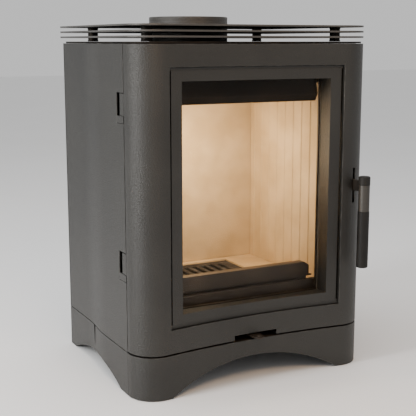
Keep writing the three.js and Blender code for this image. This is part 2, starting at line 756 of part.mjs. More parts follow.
// ---------------------------------------------------------------- air supply
function buildAirSupply() {
  const bottom = plinthHeight;
  const top = shell.bottom - clearance;
  const seatBottom = slideBottom + slideThickness + clearance;
  const chamberRear = slideY[1] + airBox.behindSlide;
  const wall = sheet;
  const rear = airBox.front + airBox.length;
  const outer = block([-airBox.half, airBox.half], [airBox.front, rear], [bottom, top]);
  const inside = [-airBox.half + wall, airBox.half - wall];
  const across = [-airBox.half + 1, airBox.half - 1];
  const portY = [slideY[0] + slideBorder, slideY[1] - slideBorder];
  const hollow = block(inside, [airBox.front + wall, rear - wall], [bottom - 1, top - wall]);
  const seat = block(across, [airBox.front + 1, chamberRear], [seatBottom, seatBottom + wall]);
  const partition = block(across, [chamberRear - wall, chamberRear], [seatBottom, top - 1]);
  const guideTop = slideBottom - clearance;
  const guides = [slideY[0] - slideGuide.overFront, slideY[1] - slideGuide.overRear]
    .map((y) => block([slideGuide.inner, across[1]], [y, y + slideGuide.width], [guideTop - wall, guideTop]))
    .flatMap((guide) => [guide, guide.mirror([1, 0, 0])]);
  const portX = [-portPitch / 2, portPitch / 2];
  const ports = portX.map((x) =>
    block([x - portHalf, x + portHalf], portY, [seatBottom - 1, seatBottom + wall + 1]));
  const upper = block([-upperPort.half, upperPort.half], upperPort.y, [top - wall - 1, top + 1]);
  const mouthSlot = block(
    [-leverNotch.half, leverNotch.half], [0, airBox.front + wall + 1],
    [slideBottom - 0.8, slideBottom + slideThickness + 0.1],
  );
  const body = cut(union(cut(outer, hollow), seat, partition, ...guides), ...ports, upper, mouthSlot);
  place(casing, 'air_box', body, finish.darkSteel);

  const flangeTop = plinthHeight - clearance - sheet - clearance;
  const tube = turned([
    [spigot.radius - spigot.wall, flangeTop - spigot.length],
    [spigot.radius, flangeTop - spigot.length],
    [spigot.radius, flangeTop - spigot.wall],
    [spigot.radius + spigot.flange, flangeTop - spigot.wall],
    [spigot.radius + spigot.flange, flangeTop],
    [spigot.radius - spigot.wall, flangeTop],
    [spigot.radius - spigot.wall, flangeTop - spigot.length],
  ], 32);
  place(casing, 'air_spigot', tube, finish.darkSteel).position.set(0, spigot.y, 0);

  const slideZ = [slideBottom, slideBottom + slideThickness];
  const plate = block([-slideHalf, slideHalf], slideY, slideZ);
  const tongueTip = noseY - tongueReach;
  const tongue = block([-tongueHalf, tongueHalf], [tongueTip, slideY[0] + 1], slideZ);
  const openings = portX.map((x) =>
    block([x + slideTravel - portHalf, x + slideTravel + portHalf], portY, [bottom, top]));
  const eye = cylinderZ(0, tongueTip + tongueHole.fromTip, tongueHole.radius, bottom, top, 20);
  place(airControl, 'air_slide', cut(plate.add(tongue), ...openings, eye), finish.darkSteel);
}

// ---------------------------------------------------------------- door
function buildDoor() {
  const skin = band(frontLine(0, doorSeam), frontLine(doorSheet, doorSeam), doorBottom, doorTop);
  const insidePlan = (z0, z1) => {
    const line = frontLine(doorSheet / 2, seamY - 2).filter((p) => p.y < doorFlangeRear);
    const edge = halfWidth - doorSheet / 2;
    return prismZ([point(-edge, doorFlangeRear), ...line, point(edge, doorFlangeRear)], z0, z1);
  };
  const flanges = insidePlan(doorBottom, doorBottom + doorSheet)
    .add(insidePlan(doorTop - doorSheet, doorTop));
  const wallRing = frameRing(grown(recess, doorSheet), recess, -1, recessWallRear);
  const recessWall = wallRing.intersect(insidePlan(recess.bottom - 10, recess.top + 10));
  const window = block(
    [-recess.half, recess.half], [-1, doorFlangeRear - 1],
    [recess.bottom, recess.top],
  );
  const slotX = [latchX - slotWidth / 2, latchX + slotWidth / 2];
  const slotZ = [latchZ - slotReach.down, latchZ + slotReach.up];
  const handleSlot = block(slotX, [-1, cornerRadius / 2], slotZ);
  const airNotch = block(
    [-leverNotch.half, leverNotch.half], [-1, seamY],
    [0, plinthHeight + leverNotch.height],
  );
  const body = union(skin, flanges, recessWall);
  place(door, 'door_shell', cut(body, window, handleSlot, airNotch), finish.graphite);

  buildWindow();

  const plateBox = {
    half: innerPlateHalf,
    bottom: doorBottom + innerPlateMargin,
    top: doorTop - innerPlateMargin,
  };
  const plate = frameRing(plateBox, grown(opening, 1), innerPlateFront, innerPlateRear);
  const hookSlot = block([hookX[0] - 2, hookX[1] + 2], [0, seamY], hookSlotZ);
  place(door, 'door_inner_plate', cut(plate, hookSlot, airNotch), finish.darkSteel);

  const ropeFront = innerPlateRear + clearance;
  const ropeOuter = grown(mouth, ropeAround + ropeWidth / 2);
  const rope = frameRing(ropeOuter, grown(ropeOuter, -ropeWidth), ropeFront, ropeFront + ropeThickness);
  place(door, 'door_rope', rope, finish.rope);
}

/** The door's front curve, moved inwards by an inset and cut off at x = -half and x = half. */
function hollowLine(inset, half) {
  const endY = hollowCentreY + Math.sqrt((hollowRadius + inset) ** 2 - half ** 2);
  const line = frontLine(inset, seamY).filter((p) => Math.abs(p.x) < half);
  return [point(-half, endY), ...line, point(half, endY)];
}

function buildWindow() {
  const back = windowRecess + returnWall;
  const curved = (front, half, z0, z1) => band(hollowLine(front, half), hollowLine(back, half), z0, z1);
  const face = curved(windowRecess, windowFace.half, windowFace.bottom, windowFace.top);
  const stripHalf = recess.half - 2 * clearance;
  const stripFront = windowRecess + stripDrop;
  const strips = [
    curved(stripFront, stripHalf, recess.bottom + 2 * clearance, windowFace.bottom + 1),
    curved(stripFront, stripHalf, windowFace.top - 1, recess.top - 2 * clearance),
  ];
  const deep = glassFront - clearance;
  const tubeOuter = grown(opening, returnWall);
  const behindFace = prismZ([
    ...hollowLine(windowRecess + 1, tubeOuter.half + 1),
    point(tubeOuter.half + 1, deep + 1), point(-tubeOuter.half - 1, deep + 1),
  ], tubeOuter.bottom - 1, tubeOuter.top + 1);
  const tube = frameRing(tubeOuter, opening, 0, deep).intersect(behindFace);
  const lugX = [glassHalf + 2, windowFace.half - 1];
  const lugY = [back + 1, innerPlateFront - clearance];
  const lugs = [opening.bottom + lugFromEnd, opening.top - lugFromEnd - lugLength]
    .map((z) => block(lugX, lugY, [z, z + lugLength]))
    .flatMap((lug) => [lug, lug.mirror([1, 0, 0])]);
  const hole = block([-opening.half, opening.half], [-1, deep + 1], [opening.bottom, opening.top]);
  place(door, 'window_frame', cut(union(face, ...strips, tube, ...lugs), hole), finish.graphite);

  const glassRear = glassFront + glassThickness;
  const glass = block([-glassHalf, glassHalf], [glassFront, glassRear],
    [opening.bottom - glassOverlap, opening.top + glassOverlap]);
  place(door, 'door_glass', glass, finish.glass);

  const gasket = frameRing(grown(opening, glassOverlap - 1), grown(opening, glassOverlap - 1 - gasketWidth),
    glassRear + clearance, innerPlateFront - clearance);
  place(door, 'glass_gasket', gasket, finish.rope);
}

// ---------------------------------------------------------------- hinges
function buildHinge(name, floor) {
  const lugZ = [floor + hingePlay, floor + hingePlay + lugHeight];
  const base = block(
    [-frame.half - boilerPlate, -frame.half - clearance], [frameFront, frameFront + bracketDepth],
    [floor - bracketMargin, floor + notchHeight + bracketMargin],
  );
  const lugY = [panelFront + hingePlay, panelFront + notchDepth - hingePlay];
  const lug = block([-halfWidth, -frame.half - boilerPlate + 1], lugY, lugZ);
  const bore = cylinderZ(hingeX, hingeY, hingePinRadius + clearance, 0, casingTop, 16);
  place(casing, `hinge_bracket_${name}`, cut(base.add(lug), bore), finish.darkSteel);

  const pinTop = floor + notchHeight - hingePinRadius - 1;
  const pin = cylinderZ(0, 0, hingePinRadius, 0, pinTop - lugZ[0], 16);
  place(casing, `hinge_pin_${name}`, pin, finish.satin).position.set(hingeX, hingeY, lugZ[0]);

  const knuckleZ = [lugZ[1] + hingePlay, floor + notchHeight - 1];
  const barrel = cylinderZ(hingeX, hingeY, hingeInset, ...knuckleZ, 24);
  const armFront = doorSeam + 0.5;
  const arm = block([-halfWidth, hingeX], [armFront, hingeY], knuckleZ);
  const inside = halfWidth - doorSheet - 1;
  const root = block([-inside, -innerPlateHalf - clearance], [doorSeam - knuckleReach, armFront], knuckleZ);
  const bridge = block([-inside, hingeX], [doorSeam - 1, hingeY], knuckleZ);
  place(door, `hinge_knuckle_${name}`, cut(union(barrel, arm, bridge, root), bore), finish.darkSteel);
}

// ---------------------------------------------------------------- latch
function buildLatch() {
  const bore = (radius, x0, x1) => cylinderX(latchY, latchZ, radius, x0, x1, 20);
  const leverX = [latchX - leverSide, latchX + leverSide];
  const boss = bore(leverHalfHeight + 1, ...leverX);
  const tip = handle.y + handle.coreRadius + clearance;
  const arm = block(leverX, [tip, latchY], [latchZ - leverHalfHeight, latchZ + leverHalfHeight]);
  const lever = cut(arm.add(boss), bore(shaftRadius + clearance, leverX[0] - 1, leverX[1] + 1));
  place(latch, 'latch_lever', lever, finish.darkSteel);

  const low = latchZ + hookTop - hookDepth;
  const high = latchZ + hookTop;
  const claw = { front: latchY + clawY[0], rear: latchY + clawY[1], top: high + clawRise };
  const hookOutline = [
    point(latchY, low),
    point(claw.rear - hookCorner, low),
    point(claw.rear, low + hookCorner),
    point(claw.rear, claw.top - hookCorner),
    point(claw.rear - hookCorner, claw.top),
    point(claw.front, claw.top),
    point(claw.front, high),
    point(latchY, high + hookShoulder),
  ];
  const hook = cut(prismX(hookOutline, ...hookX).add(bore(leverHalfHeight + 1, ...hookX)),
    bore(shaftRadius + clearance, hookX[0] - 1, hookX[1] + 1));
  place(latch, 'latch_hook', hook, finish.darkSteel);

  const earInner = [leverX[1] + 1, leverX[1] + 1 + earSheet];
  const earOuter = [hookX[1] + 1.6, hookX[1] + 1.6 + earSheet];
  const shaft = bore(shaftRadius, leverX[0] - 1, earOuter[1] + 1);
  place(latch, 'latch_shaft', shaft, finish.satin);

  const rearFace = innerPlateFront - clearance;
  const baseZ = [hookSlotZ[0] - bracketAround, hookSlotZ[1] + bracketAround];
  const base = block([earInner[0], earOuter[1]], [rearFace - earSheet, rearFace], baseZ);
  const ears = [earInner, earOuter].map((x) =>
    block(x, [latchY, rearFace - 1], [latchZ - leverHalfHeight, latchZ + leverHalfHeight])
      .add(cylinderX(latchY, latchZ, shaftRadius + shaftEyeWall, ...x)));
  const hookGate = block([earInner[1], earOuter[0]], [0, seamY], hookSlotZ);
  const shaftBore = bore(shaftRadius + clearance, earInner[0] - 1, earOuter[1] + 1);
  const bracket = cut(union(base, ...ears), shaftBore, hookGate);
  place(door, 'latch_bracket', bracket, finish.darkSteel);

  buildHandle();
  buildCatch();
}

function buildHandle() {
  const endWall = handle.endWall;
  const seat = block(
    [latchX - leverSide - clearance, latchX + leverSide + clearance],
    [handle.y, handle.y + 2 * handle.radius],
    [latchZ - leverHalfHeight - clearance, latchZ + leverHalfHeight + clearance],
  );
  const coreZ = [handleBottom + endWall, handleTop - endWall];
  const core = cylinderZ(latchX, handle.y, handle.coreRadius, ...coreZ, 20);
  place(latch, 'handle_core', core, finish.satin);

  const boreZ = [coreZ[0] - clearance, coreZ[1] + clearance];
  const boreHole = cylinderZ(latchX, handle.y, handle.coreRadius + clearance, ...boreZ, 20);
  const sleeve = (radius, z0, z1) => cut(cylinderZ(latchX, handle.y, radius, z0, z1, 32), boreHole);
  const gripTop = handleBottom + gripLength;
  const capBottom = handleTop - capLength;
  place(latch, 'handle_grip', sleeve(handle.radius, handleBottom, gripTop), finish.grip);
  const middle = sleeve(handle.radius - handle.collarStep, gripTop + clearance, capBottom);
  place(latch, 'handle_collar', cut(middle, seat), finish.satin);
  place(latch, 'handle_cap', cut(sleeve(handle.radius, capBottom + clearance, handleTop), seat), finish.grip);
}

function buildCatch() {
  const y = latchY + catchPin.y;
  const z = latchZ + catchPin.z;
  const x0 = shell.half + clearance;
  const plate = block(
    [x0, x0 + catchPlate.thickness], [frameRear + clearance, y + catchPlate.behindPin],
    [z - catchPlate.halfHeight, z + catchPlate.halfHeight],
  );
  const hole = cylinderX(y, z, catchPin.radius + clearance, x0 - 1, x0 + catchPlate.thickness + 1, 20);
  place(casing, 'catch_bracket', cut(plate, hole), finish.darkSteel);
  place(casing, 'catch_pin', cylinderX(y, z, catchPin.radius, x0, hookX[1] + 4, 20), finish.satin);
}

// ---------------------------------------------------------------- the stove
buildPlinth();
buildPanels();
buildTop();
buildFirebox();
buildLining();
buildGrate();
buildAshPan();
buildRetainer();
buildWashBar();
buildAirSupply();
buildDoor();
Object.entries(notchFloors).forEach(([name, floor]) => buildHinge(name, floor));
buildLatch();

export default stove;
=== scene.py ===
"""Looks of a small free-standing wood burning stove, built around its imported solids."""

import json
import logging
import math
from dataclasses import dataclass, field
from enum import Enum
from typing import Callable, Iterable, Sequence

import bmesh
import bpy
from bmesh.types import BMesh, BMVert
from bpy.types import ID, Material, Mesh, Node, NodeSocket, NodeTree, Object
from mathutils import Matrix, Vector

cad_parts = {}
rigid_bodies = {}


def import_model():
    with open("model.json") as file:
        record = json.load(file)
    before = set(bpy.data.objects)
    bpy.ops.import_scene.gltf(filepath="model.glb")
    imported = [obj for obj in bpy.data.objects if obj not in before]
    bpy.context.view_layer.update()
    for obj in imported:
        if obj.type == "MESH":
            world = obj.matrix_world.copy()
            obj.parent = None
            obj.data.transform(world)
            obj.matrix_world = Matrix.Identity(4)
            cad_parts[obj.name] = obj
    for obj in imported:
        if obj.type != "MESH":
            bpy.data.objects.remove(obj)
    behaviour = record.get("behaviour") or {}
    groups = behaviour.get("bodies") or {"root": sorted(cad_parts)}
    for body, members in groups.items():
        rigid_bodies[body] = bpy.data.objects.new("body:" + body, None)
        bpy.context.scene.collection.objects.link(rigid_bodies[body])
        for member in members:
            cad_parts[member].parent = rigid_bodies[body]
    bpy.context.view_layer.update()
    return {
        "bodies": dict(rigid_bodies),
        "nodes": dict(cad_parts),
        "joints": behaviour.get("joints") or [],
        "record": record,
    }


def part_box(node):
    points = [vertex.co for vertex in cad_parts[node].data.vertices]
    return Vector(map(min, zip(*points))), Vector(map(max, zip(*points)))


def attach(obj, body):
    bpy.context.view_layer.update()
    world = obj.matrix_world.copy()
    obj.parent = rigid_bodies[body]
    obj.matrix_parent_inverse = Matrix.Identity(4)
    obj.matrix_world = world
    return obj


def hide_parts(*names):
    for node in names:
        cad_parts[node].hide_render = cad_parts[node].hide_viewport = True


LOG = logging.getLogger("stove")
WEAR = "edge_wear"
MM = 0.001
WELD = 0.01 * MM

Point = tuple[float, float, float]
Colour = tuple[float, float, float]
Profile = Sequence[tuple[float, float]]


# --- node trees
class Grain(Enum):
    """How a finish's fine texture runs."""

    EVEN = (1.0, 1.0, 1.0)
    TURNED = (0.02, 0.02, 1.0)
    DRAWN = (0.03, 1.0, 1.0)


class Graph:
    """A node tree that is filled by script."""

    def __init__(self, tree: NodeTree) -> None:
        """Takes a shader or geometry tree and empties it."""
        self.tree = tree
        tree.nodes.clear()

    def add(self, kind: str, settings: dict | None = None, **sockets: object) -> Node:
        """Adds a node.

        Args:
            kind: the node's type name.
            settings: attributes set before the sockets.
            sockets: values or links by socket name (spaces as _) or by number (in0, in1).

        Returns:
            The node.
        """
        made = self.tree.nodes.new(kind)
        for name, value in (settings or {}).items():
            setattr(made, name, value)
        for name, value in sockets.items():
            numbered = name.startswith("in") and name[2:].isdigit()
            self.put(made.inputs[int(name[2:]) if numbered else name.replace("_", " ")], value)
        return made

    def node(self, kind: str, settings: dict | None = None, out: int | str = 0,
             **sockets: object) -> "Socket":
        """Adds a node as add does and returns one output, by number or name."""
        return Socket(self, self.add(kind, settings, **sockets).outputs[out])

    def put(self, target: NodeSocket, value: object) -> None:
        """Links or sets one input.

        Args:
            target: the input.
            value: a value, a link, or a list of links for an input that takes several.
        """
        if isinstance(value, list):
            for link in value:
                self.put(target, link)
        elif isinstance(value, Socket):
            self.tree.links.new(value.socket, target)
        else:
            target.default_value = (*value, 1.0) if target.type == "RGBA" else value

    def blend(self, share: object, low: object, high: object) -> "Socket":
        """The colour between low, at share 0, and high, at share 1."""
        return self.node("ShaderNodeMix", {"data_type": "RGBA"}, out=2, in0=share, in6=low, in7=high)

    def surface(self, **sockets: object) -> "Socket":
        """A surface shader with the given sockets."""
        return self.node("ShaderNodeBsdfPrincipled", **sockets)

    def place(self, grain: Grain = Grain.EVEN) -> "Socket":
        """Object coordinates, stretched along the grain."""
        where = self.node("ShaderNodeTexCoord", out="Object")
        return self.node("ShaderNodeMapping", in0=where, Scale=grain.value)

    def wear(self) -> "Socket":
        """The share of edge wear stored on a piece's faces."""
        return self.node("ShaderNodeAttribute", {"attribute_name": WEAR}, out="Fac")

    def upward(self, height: object) -> "Socket":
        """A vector along Z."""
        return self.node("ShaderNodeCombineXYZ", Z=height)


class Socket:
    """An output socket that can be used in sums."""

    def __init__(self, graph: Graph, socket: NodeSocket) -> None:
        """Wraps a socket of a graph."""
        self.graph = graph
        self.socket = socket

    def _math(self, operation: str, first: object, second: object = 0.0, clamp: bool = False) -> "Socket":
        """Adds one Math node."""
        settings = {"operation": operation, "use_clamp": clamp}
        return self.graph.node("ShaderNodeMath", settings, in0=first, in1=second)

    def __add__(self, other: object) -> "Socket":
        """Self plus other."""
        return self._math("ADD", self, other)

    __radd__ = __add__

    def __sub__(self, other: object) -> "Socket":
        """Self minus other."""
        return self._math("SUBTRACT", self, other)

    def __rsub__(self, other: object) -> "Socket":
        """Other minus self."""
        return self._math("SUBTRACT", other, self)

    def __mul__(self, other: object) -> "Socket":
        """Self times other."""
        return self._math("MULTIPLY", self, other)

    __rmul__ = __mul__

    def __truediv__(self, other: object) -> "Socket":
        """Self over other."""
        return self._math("DIVIDE", self, other)

    def __rtruediv__(self, other: object) -> "Socket":
        """Other over self."""
        return self._math("DIVIDE", other, self)

    def sine(self) -> "Socket":
        """The sine of self."""
        return self._math("SINE", self)

    def cosine(self) -> "Socket":
        """The cosine of self."""
        return self._math("COSINE", self)

    def clamped(self) -> "Socket":
        """Self held between 0 and 1."""
        return self._math("ADD", self, 0.0, clamp=True)

    def part(self, axis: int) -> "Socket":
        """One coordinate of a vector, by its number."""
        return self.graph.node("ShaderNodeSeparateXYZ", out=axis, in0=self)

    def step(self, low: float, high: float) -> "Socket":
        """A soft step from 0 at low to 1 at high."""
        settings = {"interpolation_type": "SMOOTHSTEP"}
        return self.graph.node("ShaderNodeMapRange", settings, in0=self, in1=low, in2=high)

    def noise(self, scale: float, detail: float = 2.0) -> "Socket":
        """Noise from 0 to 1 at this place, its scale in waves per metre."""
        return self.graph.node("ShaderNodeTexNoise", Vector=self, Scale=scale, Detail=detail)

    def bump(self, depth: float, strength: float) -> "Socket":
        """A normal from this height, its depth in metres."""
        return self.graph.node("ShaderNodeBump", Height=self, Distance=depth, Strength=strength)


# --- finishes
@dataclass(frozen=True)
class Finish:
    """A surface finish that makes its own material; its scales are in waves per metre."""

    name: str
    slot: str

    def material(self) -> Material:
        """Makes the finish's material, or returns the one that was made before."""
        found = bpy.data.materials.get(self.name)
        if found:
            return found
        made = bpy.data.materials.new(self.name)
        made.use_nodes = True
        graph = Graph(made.node_tree)
        graph.add("ShaderNodeOutputMaterial", in0=self.shade(graph))
        return made

    def shade(self, graph: Graph) -> Socket:
        """Builds the surface shader; each finish has its own.

        Args:
            graph: the material's graph.

        Returns:
            The shader's output.
        """
        raise NotImplementedError


@dataclass(frozen=True)
class StovePaint(Finish):
    """Satin heat-resistant paint with a fine leathery texture, rubbed a little on its edges."""

    dark: Colour = (0.0158, 0.0152, 0.0132)
    light: Colour = (0.0265, 0.0255, 0.0221)
    rubbed: Colour = (0.11, 0.105, 0.095)
    roughness: float = 0.44
    fine_scale: float = 620.0
    coarse_scale: float = 340.0
    cloud_scale: float = 7.0
    rub_scale: float = 60.0
    relief: float = 1.6 * MM

    def shade(self, graph: Graph) -> Socket:
        """Paint colour with clouding, grain bump and paler edges."""
        where = graph.place()
        fine = where.noise(self.fine_scale, 3.0)
        coarse = where.noise(self.coarse_scale)
        cloud = where.noise(self.cloud_scale, 4.0)
        tone = (cloud * 0.7 + fine * 0.3).step(0.3, 0.7)
        rub = (graph.wear() * where.noise(self.rub_scale).step(0.35, 0.75) * 0.55).clamped()
        colour = graph.blend(rub, graph.blend(tone, self.dark, self.light), self.rubbed)
        rough = self.roughness + (coarse - 0.5) * 0.22 + (cloud - 0.5) * 0.12 - rub * 0.1
        height = fine * 0.6 + coarse * 0.4
        return graph.surface(
            Base_Color=colour, Roughness=rough, Metallic=0.3, Specular_IOR_Level=0.62,
            Normal=height.bump(self.relief, 0.85),
        )


@dataclass(frozen=True)
class HeatedSteel(Finish):
    """Dark sheet steel, browned by heat, with a soft film of soot."""

    dark: Colour = (0.016, 0.0145, 0.0125)
    brown: Colour = (0.062, 0.045, 0.031)
    bare: Colour = (0.12, 0.11, 0.1)
    roughness: float = 0.52
    metallic: float = 0.55
    shine: float = 0.5
    blot_scale: float = 16.0
    fine_scale: float = 520.0
    smear_scale: float = 130.0
    rub_scale: float = 45.0
    relief: float = 0.3 * MM

    def shade(self, graph: Graph) -> Socket:
        """Mottled brown steel with smeared soot and bright edges."""
        where = graph.place()
        blot = where.noise(self.blot_scale, 5.0).step(0.35, 0.68)
        fine = where.noise(self.fine_scale, 3.0)
        smear = graph.place(Grain.DRAWN).noise(self.smear_scale, 3.0)
        rub = (graph.wear() * where.noise(self.rub_scale).step(0.3, 0.7) * 0.6).clamped()
        tone = (blot * 0.75 + smear * 0.25).clamped()
        colour = graph.blend(rub, graph.blend(tone, self.dark, self.brown), self.bare)
        rough = self.roughness + (smear - 0.5) * 0.2 + (fine - 0.5) * 0.1 - rub * 0.12
        return graph.surface(
            Base_Color=colour, Roughness=rough, Metallic=self.metallic, Specular_IOR_Level=self.shine,
            Normal=fine.bump(self.relief, 0.5),
        )


@dataclass(frozen=True)
class CastIron(Finish):
    """Sand-cast iron with a grainy skin and dusty hollows."""

    dark: Colour = (0.02, 0.019, 0.018)
    ash: Colour = (0.16, 0.15, 0.14)
    sand_scale: float = 420.0
    dust_scale: float = 28.0
    relief: float = 0.9 * MM

    def shade(self, graph: Graph) -> Socket:
        """Grainy iron with ash dust."""
        where = graph.place()
        sand = where.noise(self.sand_scale, 5.0)
        dust = where.noise(self.dust_scale, 6.0).step(0.48, 0.72) * 0.6
        colour = graph.blend(dust, self.dark, self.ash)
        return graph.surface(
            Base_Color=colour, Roughness=0.68 + dust * 0.2 + (sand - 0.5) * 0.2,
            Metallic=0.3, Normal=sand.bump(self.relief, 0.8),
        )


@dataclass(frozen=True)
class Vermiculite(Finish):
    """Pressed cream board with golden flakes, darkened towards its top by painted shade."""

    cream: Colour = (0.64, 0.5, 0.315)
    tan: Colour = (0.5, 0.375, 0.215)
    flake: Colour = (0.78, 0.66, 0.46)
    # painted shade: a dark brown laid over the board's upper part, where shadow falls near the top of the
    # firebox
    soot: Colour = (0.21, 0.165, 0.115)
    top_painted_shade_from: float = 0.4
    top_painted_shade_to: float = 0.56
    flake_scale: float = 260.0
    cloud_scale: float = 13.0
    pit_scale: float = 340.0
    relief: float = 0.6 * MM

    def shade(self, graph: Graph) -> Socket:
        """Flaky board, darkened by height with painted shade."""
        where = graph.place()
        flakes = graph.node("ShaderNodeTexVoronoi", out="Distance", Vector=where, Scale=self.flake_scale)
        cloud = where.noise(self.cloud_scale, 5.0)
        pits = where.noise(self.pit_scale, 4.0)
        # painted shade: the board darkens by height towards that brown
        top_painted_shade_share = (where.part(2).step(self.top_painted_shade_from, self.top_painted_shade_to) * (0.35 + cloud * 0.5)).clamped()
        board = graph.blend(cloud.step(0.3, 0.7), self.tan, self.cream)
        flaked = graph.blend((1.0 - flakes.step(0.05, 0.35)) * 0.4, board, self.flake)
        height = pits * 0.6 + flakes * 0.4
        return graph.surface(
            Base_Color=graph.blend(top_painted_shade_share, flaked, self.soot),
            Roughness=0.86 + pits * 0.1, Normal=height.bump(self.relief, 0.6),
        )


@dataclass(frozen=True)
class TurnedSteel(Finish):
    """Satin turned steel with fine tool rings."""

    colour: Colour = (0.1, 0.094, 0.086)
    bright: Colour = (0.2, 0.19, 0.175)
    roughness: float = 0.36
    ring_scale: float = 1400.0
    haze_scale: float = 40.0
    relief: float = 0.12 * MM

    def shade(self, graph: Graph) -> Socket:
        """Rings of slightly different tone and gloss."""
        rings = graph.place(Grain.TURNED).noise(self.ring_scale, 3.0)
        haze = graph.place().noise(self.haze_scale, 3.0)
        rub = (graph.wear() * 0.5).clamped()
        tone = (rings * 0.6 + haze * 0.2 + rub).clamped()
        return graph.surface(
            Base_Color=graph.blend(tone, self.colour, self.bright),
            Roughness=self.roughness + (rings - 0.5) * 0.2 + haze * 0.1, Metallic=0.85,
            Normal=rings.bump(self.relief, 0.5),
        )


@dataclass(frozen=True)
class GripCoat(Finish):
    """Matt dark coating with a fine pebble, smoother where the hand rubs it."""

    dark: Colour = (0.005, 0.0047, 0.0042)
    light: Colour = (0.011, 0.0103, 0.0092)
    pebble_scale: float = 900.0
    patch_scale: float = 35.0
    relief: float = 0.3 * MM

    def shade(self, graph: Graph) -> Socket:
        """Pebbled coating."""
        where = graph.place()
        pebble = where.noise(self.pebble_scale, 3.0)
        patch = where.noise(self.patch_scale, 4.0)
        tone = (patch * 0.6 + pebble * 0.4).step(0.35, 0.65)
        return graph.surface(
            Base_Color=graph.blend(tone, self.dark, self.light),
            Roughness=0.46 + patch * 0.18, Specular_IOR_Level=0.28,
            Normal=pebble.bump(self.relief, 0.6),
        )


@dataclass(frozen=True)
class FibreRope(Finish):
    """Dark glass-fibre yarn with stray pale fibres."""

    dark: Colour = (0.035, 0.034, 0.032)
    pale: Colour = (0.2, 0.195, 0.185)
    fibre_scale: float = 1100.0
    soil_scale: float = 22.0
    relief: float = 0.6 * MM

    def shade(self, graph: Graph) -> Socket:
        """Fibrous yarn."""
        where = graph.place()
        fibre = where.noise(self.fibre_scale, 5.0)
        soil = where.noise(self.soil_scale, 4.0).step(0.35, 0.7)
        tone = (fibre.step(0.42, 0.75) * 0.55 + soil * 0.15).clamped()
        return graph.surface(
            Base_Color=graph.blend(tone, self.dark, self.pale),
            Roughness=0.93 - fibre * 0.1, Normal=fibre.bump(self.relief, 0.9),
        )


@dataclass(frozen=True)
class StoveGlass(Finish):
    """Clear ceramic glass, a little smoked along its edges."""

    tint: Colour = (0.05, 0.043, 0.034)
    clear: float = 0.05
    half_width: float = 0.158
    middle_height: float = 0.337
    half_height: float = 0.204
    haze_scale: float = 17.0

    def shade(self, graph: Graph) -> Socket:
        """A thin reflecting sheet with a smoky border."""
        where = graph.place()
        across = where.part(0) / self.half_width
        up = (where.part(2) - self.middle_height) / self.half_height
        border = (across * across * across * across + up * up * up * up).step(0.55, 1.3)
        haze = where.noise(self.haze_scale, 5.0).step(0.4, 0.75)
        shine = graph.node("ShaderNodeFresnel", IOR=1.5)
        cover = (self.clear + shine * 0.5 + border * haze * 0.35).clamped()
        return graph.surface(
            Base_Color=self.tint, Roughness=0.04 + haze * 0.03, Alpha=cover,
        )


@dataclass(frozen=True)
class PaleFloor(Finish):
    """A plain pale studio floor."""

    low: Colour = (0.86, 0.86, 0.86)
    high: Colour = (0.9, 0.9, 0.9)

    def shade(self, graph: Graph) -> Socket:
        """Nearly white, with a faint cloud."""
        cloud = graph.place().noise(2.0, 3.0)
        return graph.surface(
            Base_Color=graph.blend(cloud, self.low, self.high), Roughness=0.8,
        )


PAINT = StovePaint("graphite_stove_paint", "graphite_paint")
# painted light: a paler copy of the stove paint for the thin top plates and the flue collar, which catch more
# light from above
PAINT_PAINTED_TOP_LIGHT = StovePaint("graphite_paint_painted_top_light", "graphite_paint", dark=(0.042, 0.0395, 0.036),
                      light=(0.066, 0.0625, 0.057))
STEEL = HeatedSteel("heated_dark_steel", "dark_steel")
# painted shade: a near-black, dull copy of the dark steel for the top plate and the air wash bar, which sit
# in shadow
SHADE_BLACK_STEEL = HeatedSteel("sooted_dark_steel", "dark_steel", dark=(0.006, 0.0055, 0.005),
                     brown=(0.02, 0.0145, 0.01), bare=(0.07, 0.062, 0.054), roughness=0.66,
                     metallic=0.1, shine=0.12)
# browned by heat, and paler than the dark steel as painted firelight on the apron and log retainer that face
# the fire
FIRELIT_BROWN_STEEL = HeatedSteel("tempered_brown_steel", "dark_steel", dark=(0.05, 0.038, 0.027),
                       brown=(0.105, 0.078, 0.054), bare=(0.16, 0.14, 0.115), roughness=0.5)
IRON = CastIron("grainy_cast_iron", "cast_iron")
BOARD = Vermiculite("cream_vermiculite", "vermiculite")
SATIN = TurnedSteel("satin_turned_steel", "satin_steel")
COLLAR = TurnedSteel("satin_handle_collar", "satin_steel", colour=(0.055, 0.052, 0.047),
                     bright=(0.1, 0.095, 0.086), roughness=0.42)
GRIP = GripCoat("matt_grip_coat", "grip")
ROPE = FibreRope("dark_fibre_rope", "rope")
GLASS = StoveGlass("clear_stove_glass", "glass")


# --- mesh workshop
def placed(name: str, data: ID) -> Object:
    """Makes an object and links it to the scene.

    Args:
        name: its name.
        data: its mesh, curve, light or camera.

    Returns:
        The object.
    """
    made = bpy.data.objects.new(name, data)
    bpy.context.scene.collection.objects.link(made)
    return made


def upright(node: str) -> tuple[float, float, Point]:
    """Measures a solid that is round about Z.

    Args:
        node: the solid's name.

    Returns:
        Its radius, its height and the foot of its axis.
    """
    low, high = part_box(node)
    foot = ((low[0] + high[0]) / 2, (low[1] + high[1]) / 2, low[2])
    return (high[0] - low[0]) / 2, high[2] - low[2], foot


